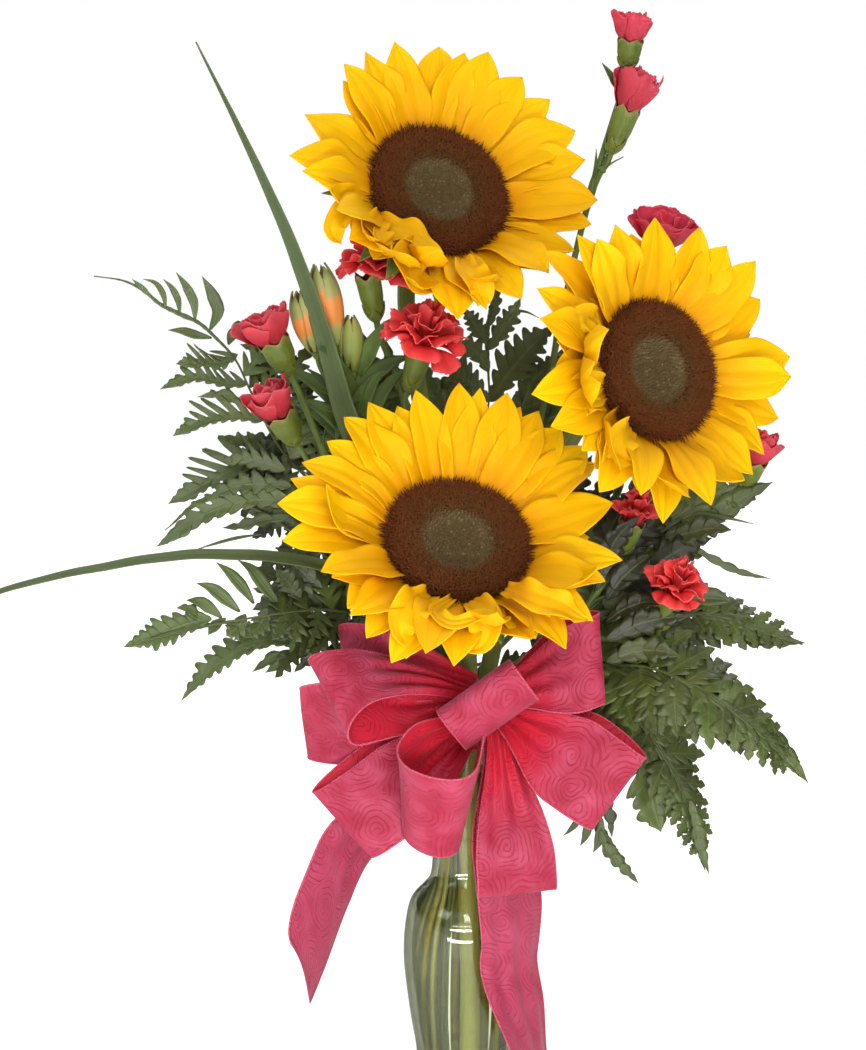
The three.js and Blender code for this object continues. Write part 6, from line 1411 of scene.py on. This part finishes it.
def pinna(body, route, hi, lo, M, deep, shade, up, rng):
    """One blade along a route. Its lobes lean forward and are cut deeper on the upper edge."""
    line = smooth(route, 60)
    run = np.r_[0, np.cumsum(np.linalg.norm(np.diff(line, axis=0), axis=1))]
    if M:
        x8 = np.array([0.0, 0.10, 0.24, 0.42, 0.60, 0.76, 0.90]) * (0.94 - 0.16 * deep)
        p8 = np.array([0.0, 0.62, 0.93, 1.0, 0.92, 0.62, 0.22])
        rows = [((j + a) / M, b, j) for j in range(M) for a, b in [*zip(x8, p8), (0.94 - 0.14 * deep, 0.0), (0.99, 0.0)]] + [(1.0, 1.0, M - 1)]
    else:
        rows = [(a, 1.0, 0) for a in np.linspace(0, 1, 14)]
    q, pp, jj = (np.array(c) for c in zip(*rows))
    jj = jj.astype(int)
    mid = np.stack([np.interp(q * run[-1], run, line[:, k]) for k in range(3)], 1)
    dm = np.stack([np.interp(q * run[-1], run, along(line)[:, k]) for k in range(3)], 1)
    Nn = unit(up + A([rng.uniform(-0.2, 0.2), 0, rng.uniform(-0.2, 0.2)]))
    across = unit(np.cross(Nn, dm))
    if across[:, 2].mean() < 0:
        across = -across
    lift_way = np.cross(dm, across)
    lift_way = lift_way * np.sign((lift_way @ up).mean())
    if deep > 0.55:
        high = np.interp(q, [0, 0.10, 0.30, 0.55, 0.68, 0.80, 0.92, 1], [0.5, 0.95, 1.0, 0.78, 0.42, 0.30, 0.16, 0.01])
        low = np.interp(q, [0, 0.15, 0.45, 0.70, 0.88, 1], [0.7, 1.0, 1.0, 0.95, 0.5, 0.02])
    else:
        high = np.interp(q, [0, 0.10, 0.32, 0.55, 0.78, 0.90, 1], [0.22, 0.55, 1.0, 0.92, 0.50, 0.24, 0.02])
        low = high
    cut = deep * (1 - 0.75 * ease(q, 0.58, 0.78)) if deep > 0.55 else deep * (1 - 0.4 * ease(q, 0.6, 0.9))
    v = np.array([-1.0, -0.5, 0.0, 0.5, 1.0])
    jit, lift = rng.uniform(0.84, 1.12, (2, M + 1)), rng.uniform(-0.22, 0.16, (2, M + 1))
    which = (v > 0).astype(int)
    top = hi * high * (1 - cut * (1 - pp))
    bot = lo * low * (1 - (0.45 * cut if deep > 0.55 else cut) * (1 - pp))
    hw = np.where(v[None] > 0, top[:, None], bot[:, None]) * jit[which][:, jj].T
    av = np.abs(v)[None]
    lean = 0.95 if deep > 0.55 else 0.5
    g = mid[:, None] + across[:, None] * (v[None] * hw)[..., None] + dm[:, None] * (hw * (lean * av + 0.2 * av**2) * (1 - q[:, None] ** 6))[..., None]
    g = g + lift_way[:, None] * (hw * (0.22 * av + lift[which][:, jj].T * av**2))[..., None]
    qq, vv = np.meshgrid(q, v, indexing="ij")
    body.add(*shell(g, 0.28, np.stack([qq, vv, np.full_like(qq, shade)], -1), extra=np.full_like(qq, 0.6)))


def make_fern(name, seed):
    """A frond: pinnae along the rib, each a blade cut into forward-leaning lobes. A high comb value cuts deeper and spaces the pinnae out."""
    spec, comb = FERNS[name], COMB[name]
    spec = dict(spec, rib=ROUTE.get(name, spec["rib"]))
    rng = np.random.default_rng(seed)
    low = lane(name)
    up = unit(spec["face"])
    body = Body()
    way = smooth([*low, *spec["foot"], *spec["rib"]], 150)
    body.add(*tube(way, np.interp(np.linspace(0, 1, 151), [0, 0.5, 1], [1.25, 0.95, 0.30]), 10, kind=1.0))
    S = 240
    rib = smooth([spec["foot"][-1], *spec["rib"]], S)
    tr = along(rib)
    side = unit(np.cross(tr, up))
    nor = np.cross(side, tr)
    length = np.linalg.norm(np.diff(rib, axis=0), axis=1).sum()
    N = int(np.clip(length / (7.2 + 3.0 * comb), 9, 22))
    stop = {"fern_1": {-1: 0.74, 1: 0.94}, "fern_2": {-1: 0.90, 1: 0.84}}.get(name, {-1: 0.93, 1: 0.93})
    v = np.array([-1.0, -0.5, 0.0, 0.5, 1.0])
    duty = 0.97 - 0.17 * comb
    lobe_x = np.array([0.0, 0.08, 0.22, 0.40, 0.58, 0.74, 0.88, 1.0]) * duty
    lobe_p = np.array([0.0, 0.66, 0.95, 1.0, 0.84, 0.80 - 0.22 * comb, 0.36, 0.0])
    more = FULLER.get(name, (1.0, 1.0))
    for s, wide, under in ((-1, spec["left"] * more[0], 0), (1, spec["right"] * more[1], 0), (-1, spec["left"] * more[0], 1), (1, spec["right"] * more[1], 1)):
        for k in range(N):
            x = (k + (0.05 if s < 0 else 0.5) + 0.45 * under) / N
            t = 1 - (1 - x) ** 1.22
            if t > (UNTIL[name][s][under] if name in UNTIL else stop[s] - 0.30 * under * (0.6 + 0.4 * comb)):
                continue
            i = int(t * S)
            plain = ease(t, 0.62, 0.80) * comb
            cut = comb * (1 - 0.75 * under)
            L = wide * (1.30 - 0.16 * comb) * min(1, 0.78 + 1.1 * t) * (1 - t) ** (0.78 - 0.22 * comb) * (rng.uniform(0.86, 1.08) if comb < 0.65 or under else rng.choice([0.76, 0.95, 1.14]) * rng.uniform(0.94, 1.04))
            L = max(L * (1 - 0.20 * under), 5.0)
            T, D, P = tr[i], side[i] * s, rib[i]
            Nn = unit(nor[i] + T * rng.uniform(-0.34, 0.34) + D * rng.uniform(-0.15, 0.15))
            droop, fwd = rng.uniform(-0.22, 0.04), 0.30 + 0.42 * t + rng.uniform(-0.10, 0.10)
            if name == "fern_1":
                fwd = rng.uniform(-0.28, 0.02) if s < 0 else (rng.uniform(0.0, 0.3) if t > 0.6 else fwd)
            reach = min((0.31 - 0.01 * comb) * L + 1.4, 13.5)
            reach = reach * (1 - plain) + (0.05 * L + 1.1) * plain
            deep = (0.34 + 0.50 * cut) * (1 - plain) + 0.06 * plain
            pitch = 4.6 + 0.6 * comb
            M = max(int(L / pitch), 3)
            lobes = []
            for j in range(M):
                for xx, pp in zip(lobe_x, lobe_p):
                    lobes.append(((j + xx) / M, pp, j, xx))
                if comb > 0.3:
                    lobes.append(((j + 0.5 * (1 + duty)) / M, 0.0, j, 1.0))
            lobes.append((1.0, 1.0, M - 1, 1.0))
            q, pp, jj, xx = (np.array(c) for c in zip(*lobes))
            jj = jj.astype(int)
            mid = P + np.outer(q * (1 - 0.06 * q), D * L) + np.outer(fwd * q * 0.85 + 0.12 * q**2, T * L) + np.outer(0.05 * np.sin(math.pi * q) + droop * q**2, nor[i] * L) - np.outer(np.minimum(q * 6, 1) * 3.0 * under, nor[i])
            dm = along(mid)
            across = unit(np.cross(Nn, dm))
            up_m = np.cross(dm, across)
            env = np.interp(q, [0, 0.05, 0.17, 0.40, 0.62, 0.80, 0.93, 1], [0.60, 0.90, 1.0, 0.84 - 0.16 * comb, 0.56 - 0.16 * comb, 0.31 - 0.08 * comb, 0.13, 0.015])
            env = reach * (env * (1 - plain) + np.interp(q, [0, 0.12, 0.4, 0.7, 0.9, 1], [0.5, 0.8, 1.0, 0.75, 0.35, 0.03]) * plain)
            dep = deep * (1 - 0.55 * ease(q, 0.55, 0.9))
            jit = rng.uniform(0.86, 1.1, (2, M))
            lift = rng.uniform(-0.30, 0.12, (2, M))
            half = env[:, None] * (1 - dep * (1 - pp))[:, None]
            which = (v > 0).astype(int)
            grow = jit[which][:, jj].T * np.where((v * s)[None] < 0, 1.10, 0.94 - 0.16 * comb)
            hw = half * np.where(v[None] == 0, 1.0, grow)
            av = np.abs(v)[None]
            g = mid[:, None] + across[:, None] * (v[None] * hw)[..., None]
            g = g + dm[:, None] * (hw * ((0.55 + 0.22 * comb) * av + 0.22 * av**2))[..., None]
            g = g + up_m[:, None] * (hw * (0.10 * av + lift[which][:, jj].T * av**2))[..., None]
            qq, vv = np.meshgrid(q, v, indexing="ij")
            # painted shade: the under layer of pinnae is painted darker
            ch = 0.6 * rng.uniform() + 0.4 * under
            body.add(*shell(g, 0.28, np.stack([qq, vv, np.full_like(qq, ch)], -1), extra=np.broadcast_to(np.abs(xx - 0.42 * duty)[:, None] * 2, qq.shape)))
    for route, hi, lo, M, deep, shade in PINNAE.get(name, []):
        pinna(body, route, hi, lo, M, deep, shade, unit(0.35 * up + A([0, -0.65, 0.08])), rng)
    # towards its tip the frond is one toothed blade
    tq = np.linspace(0, 1, 81)
    pts = smooth(spec["rib"], 80)
    half = np.interp(tq, [0, 0.30, 0.50, 0.70, 0.84, 0.94, 1.0], A([0.6, 0.8, 2.0, 4.4, 3.0, 1.5, 0.1]) * (1.1 - 0.85 * comb))
    half = half * (1 - 0.38 * (((tq * length / 4.6) % 1.0) - 0.5) * ease(tq, 0.4, 0.6))
    t4 = along(pts)
    la4 = unit(np.cross(t4, up))
    no4 = np.cross(la4, t4)
    qq, vv = np.meshgrid(tq, v, indexing="ij")
    g = pts[:, None] + la4[:, None] * (v[None] * half[:, None])[..., None] + t4[:, None] * (half[:, None] * 0.6 * np.abs(v)[None])[..., None] + no4[:, None] * (0.15 * np.abs(v)[None] * half[:, None])[..., None]
    body.add(*shell(g, 0.30, np.stack([qq, vv, np.full_like(qq, 0.4)], -1), extra=np.ones_like(qq)))
    body.object(f"fine_{name}", [FERN_M], name)


for i, name in enumerate(FERNS):
    make_fern(name, 500 + 13 * i)


# ---------------------------------------------------------------- bow
FINE_V = np.unique(np.round(np.concatenate([np.linspace(-0.92, 0.92, 29), [-1, -0.985, -0.965, -0.94, 0.94, 0.965, 0.985, 1]]), 4))
long_of = {}


def ribbon_piece(name, grid, squeeze, shade, flat_width, chance, ph, pleat=3):
    """Ribbon over a grid of points (along, across). Where it is squeezed narrower than flat it gathers in pleats."""
    n, m = grid.shape[:2]
    nor = unit(np.cross(np.gradient(grid, axis=0), np.gradient(grid, axis=1)))
    v = FINE_V[None]
    sq = np.clip(squeeze, 0.12, 1)[:, None]
    amp = flat_width * sq / (math.pi * pleat) * np.sqrt(1 / sq - 1) * (0.92 if name == "bow_loop_2" else 0.56)
    run = np.r_[0, np.cumsum(np.linalg.norm(np.diff(grid[:, m // 2], axis=0), axis=1))]
    h = amp * np.sin(v * math.pi * pleat + ph) * (1 - 0.25 * v**2)
    h = h + 0.45 * np.sin(run[:, None] * 0.13 + ph + 1.5 * v) * np.abs(v) ** 2 + 0.5 * np.sin(run[:, None] * 0.07 + 2.2 * ph) * (1 - v**2)
    grid = grid + nor * h[..., None]
    rr, vv = np.meshgrid(run, FINE_V, indexing="ij")
    thick = 0.42 + 0.50 * np.exp(-(((np.abs(vv) - 0.972) / 0.022) ** 2))
    body = Body()
    pts, faces, a, b = shell(grid, thick, np.stack([rr, vv, np.full_like(rr, chance)], -1), extra=vv * 0.5 * flat_width)
    b[:, 1] = np.concatenate([np.broadcast_to(s, (n, m)).ravel() for s in shade])
    body.add(pts, faces, a, b)
    ob = body.object(f"fine_{name}", [RIBBON_M], name)
    long_of[name] = run[-1]


def make_loop(name, seed):
    lp = LOOPS[name]
    rng = np.random.default_rng(seed)
    base, a, b = A(lp["base"]), A(lp["a"]), A(lp["b"])
    mid, half = (a + b) / 2 - base, (b - a) / 2
    na, fa, nb, fb = (A(lp[k]) for k in ("near_a", "far_a", "near_b", "far_b"))
    th = np.linspace(-0.93 * math.pi, 0.93 * math.pi, 121)
    s, al = np.sin(th), 0.5 * (1 + np.cos(th))
    wide = 0.3 + 0.7 * ease(al, -0.05, lp["flare"])
    out = 0.42 + 0.58 * al
    k = ((FINE_V + 1) / 2)[None, :, None]
    m, c = (na - fa) / 2 * (1 - k) + (nb - fb) / 2 * k, (na + fa) / 2 * (1 - k) + (nb + fb) / 2 * k
    col = lambda x: x[:, None, None]
    grid = base + col(al) * mid + col(wide) * FINE_V[None, :, None] * half + col(s * out) * m + col(s * s * out) * c
    # painted shade: the outer face is deep red near the knot and pink towards the fold; the inner face is deep red all
    # over
    near = 1 - ease(al, 0.12, 0.66)
    outside, inside = 0.95 * near[:, None], (0.80 + 0.20 * near)[:, None]
    nor = np.cross(np.gradient(grid, axis=0), np.gradient(grid, axis=1))
    core = base + col(al) * mid + col(s * s * out) * c
    looks_out = (nor * (grid - core)).sum() > 0
    shade = (outside, inside) if looks_out else (inside, outside)
    ribbon_piece(name, grid, wide, shade, float(2 * np.linalg.norm(half)), rng.uniform(0, 1), rng.uniform(0, TAU))


def make_tail(name, seed):
    tl = TAILS[name]
    rng = np.random.default_rng(seed)
    n = 110
    left, right = smooth(tl["left"], n), smooth(tl["right"], n)
    k = ((FINE_V + 1) / 2)[None, :, None]
    grid = left[:, None] * (1 - k) + right[:, None] * k
    nor = unit(np.cross(np.gradient(grid, axis=0), np.gradient(grid, axis=1)))
    u = np.linspace(0, 1, n + 1)
    grid = grid + nor * (2.4 * (1 - FINE_V**2)[None] * ease(u, 0.1, 0.4)[:, None])[..., None]
    wide = np.linalg.norm(left - right, axis=1) / 40.0
    # painted shade: deep red near the knot; further down a paler mauve tint
    face = (0.9 * (1 - ease(u, 0.05, 0.3)) - 0.38 * ease(u, 0.2, 0.4))[:, None]
    ribbon_piece(name, grid, np.minimum(wide, 1) * (0.5 + 0.5 * ease(u, 0, 0.25)), (face, face), 40.0, rng.uniform(0, 1), rng.uniform(0, TAU))


def make_tie():
    body = Body()
    # the band round the neck, bunched into folds
    z = np.linspace(179.8, 190.4, 19)
    ang = np.arange(120) / 120 * TAU
    zz, aa = np.meshgrid(z, ang, indexing="ij")
    r = 17.7 - (190 - zz) * 0.087 + 0.75 + 0.30 * np.sin((zz - 180) * 2.4 + 0.5 * np.sin(3 * aa)) + 0.25 * np.sin(aa * 5 + zz)
    g = np.stack([r * np.cos(aa), r * np.sin(aa), zz + 0.3 * np.sin(aa * 2 + 1)], -1)
    pts, faces, a, b = shell(g, 0.5, np.stack([aa * 18, (zz - 185) / 6, np.full_like(zz, 0.3)], -1), wrap=True, extra=(zz - 185) * 3)
    # painted shade: the band round the neck is painted deep red
    b[:, 1] = 0.8
    body.add(pts, faces, a, b)
    # the knot: gathered folds pulled tight
    th = np.linspace(0.06, math.pi - 0.06, 36)
    ph = np.arange(84) / 84 * TAU
    tt, pp = np.meshgrid(th, ph, indexing="ij")
    wrinkle = 1 + 0.08 * np.cos(9 * pp + 1.3 * np.sin(2 * tt)) * np.sin(tt) + 0.03 * np.cos(17 * pp)
    x, y, zc = 6.9 * np.sin(tt) * np.cos(pp) * wrinkle, 6.9 * np.sin(tt) * np.sin(pp) * wrinkle, 10.9 * np.cos(tt)
    v = np.stack([x + 6, y - 22.5, zc + 194], -1).reshape(-1, 3)
    n, m = tt.shape
    ix = np.arange(n * m).reshape(n, m)
    nx = np.roll(ix, -1, 1)
    q = np.stack([ix[:-1], ix[1:], nx[1:], nx[:-1]], -1).reshape(-1, 4)
    v = np.vstack([v, [[6, -22.5, 205]], [[6, -22.5, 183]]])
    tri = np.vstack([np.stack([ix[0], nx[0], np.full(m, n * m)], -1), np.stack([nx[-1], ix[-1], np.full(m, n * m + 1)], -1)])
    a = np.zeros((len(v), 3))
    a[:-2, 0], a[:-2, 2] = (pp * 6).ravel(), 0.2
    b = np.zeros((len(v), 3))
    # painted shade: the knot is painted deep red
    b[:, 1] = 0.95
    b[:-2, 2] = (zc * 2).ravel()
    body.add(v, [q, tri], a, b)
    body.object("fine_bow_tie", [RIBBON_M], "bow_tie")


make_tie()
for i, name in enumerate(LOOPS):
    make_loop(name, 900 + 17 * i)
for i, name in enumerate(TAILS):
    make_tail(name, 1200 + 19 * i)

# ---------------------------------------------------------------- floor and light


def stage_paint():
    p = Paint("studio_floor")
    n = p.noise(p.position(), 6.0, 2.0)
    col = p.mix(p.span(n, 0.3, 0.7), (0.93, 0.93, 0.93, 1), (0.95, 0.95, 0.95, 1))
    return p.solid(p.principled(col, 0.9, None, Specular_IOR_Level=0.0))


def make_stage():
    r = 2.6
    v = [(r * math.cos(TAU * i / 48), r * math.sin(TAU * i / 48), -0.0002) for i in range(48)]
    me = bpy.data.meshes.new("studio_floor")
    me.from_pydata(v, [], [tuple(range(48))])
    me.materials.append(stage_paint())
    ob = bpy.data.objects.new("studio_floor", me)
    bpy.context.scene.collection.objects.link(ob)


make_stage()


def lamp(name, at, target, size, size_y, power, color=(1, 1, 1), glossy=True):
    data = bpy.data.lights.new(name, "AREA")
    data.shape = "RECTANGLE"
    data.size, data.size_y = size, size_y
    data.energy = power
    data.color = color
    ob = bpy.data.objects.new(name, data)
    bpy.context.scene.collection.objects.link(ob)
    ob.location = at
    ob.visible_camera = False
    ob.visible_glossy = glossy
    ob.rotation_euler = (Vector(target) - Vector(at)).to_track_quat("-Z", "Y").to_euler()
    return ob


def make_world():
    """A white room, dimmer low down at both sides, seen as plain white."""
    world = bpy.data.worlds.new("studio")
    bpy.context.scene.world = world
    world.use_nodes = True
    t = world.node_tree

    def m(op, *given):
        n = t.nodes.new("ShaderNodeMath")
        n.operation = op
        for s, v in zip(n.inputs, given):
            if isinstance(v, bpy.types.NodeSocket):
                t.links.new(v, s)
            else:
                s.default_value = v
        return n.outputs[0]

    def span(x, a, b, c, d):
        n = t.nodes.new("ShaderNodeMapRange")
        n.interpolation_type = "SMOOTHSTEP"
        t.links.new(x, n.inputs[0])
        for s, v in zip(list(n.inputs)[1:5], (a, b, c, d)):
            s.default_value = v
        return n.outputs[0]

    sep = t.nodes.new("ShaderNodeSeparateXYZ")
    t.links.new(t.nodes.new("ShaderNodeTexCoord").outputs["Generated"], sep.inputs[0])
    x, y, z = sep.outputs
    flat = m("SQRT", m("ADD", m("ADD", m("MULTIPLY", x, x), m("MULTIPLY", y, y)), 1e-6))
    side = span(m("DIVIDE", m("ABSOLUTE", x), flat), 0.38, 0.80, 0.0, 1.0)
    side = m("MULTIPLY", side, span(z, 0.30, 0.75, 1.0, 0.0))
    power = m("SUBTRACT", 0.64, m("MULTIPLY", side, 0.48))
    path = t.nodes.new("ShaderNodeLightPath")
    seen = path.outputs["Is Camera Ray"]
    power = m("ADD", m("MULTIPLY", power, m("SUBTRACT", 1.0, seen)), seen)
    back = t.nodes["Background"]
    back.inputs[0].default_value = (1, 1, 1, 1)
    t.links.new(power, back.inputs[1])


make_world()
lamp("key", (0.5, -2.2, 1.2), (0, 0, 0.3), 1.3, 1.1, 28.5)
lamp("top", (0.2, -0.1, 2.2), (0, 0, 0.2), 1.6, 1.2, 3)
lamp("fill", (-1.5, -1.3, 1.2), (0, 0, 0.3), 1.0, 1.0, 7)
lamp("low_fill", (-0.1, -1.9, 0.12), (0, 0, 0.34), 1.2, 0.5, 5, glossy=False)
lamp("back_wash", (0.0, 1.5, 1.9), (0, 1.3, 0.0), 3.0, 1.8, 60)
lamp("tube_a", (0.0, -0.642, 0.117), (0, -0.027, 0.096), 0.68, 0.018, 1.5)
lamp("tube_b", (-0.03, -0.64, 0.052), (0, -0.027, 0.091), 0.74, 0.018, 1.6)

scene = bpy.context.scene
scene.view_settings.view_transform = "Standard"
scene.view_settings.look = "None"
scene.view_settings.exposure = 0.0
scene.view_settings.gamma = 1.0
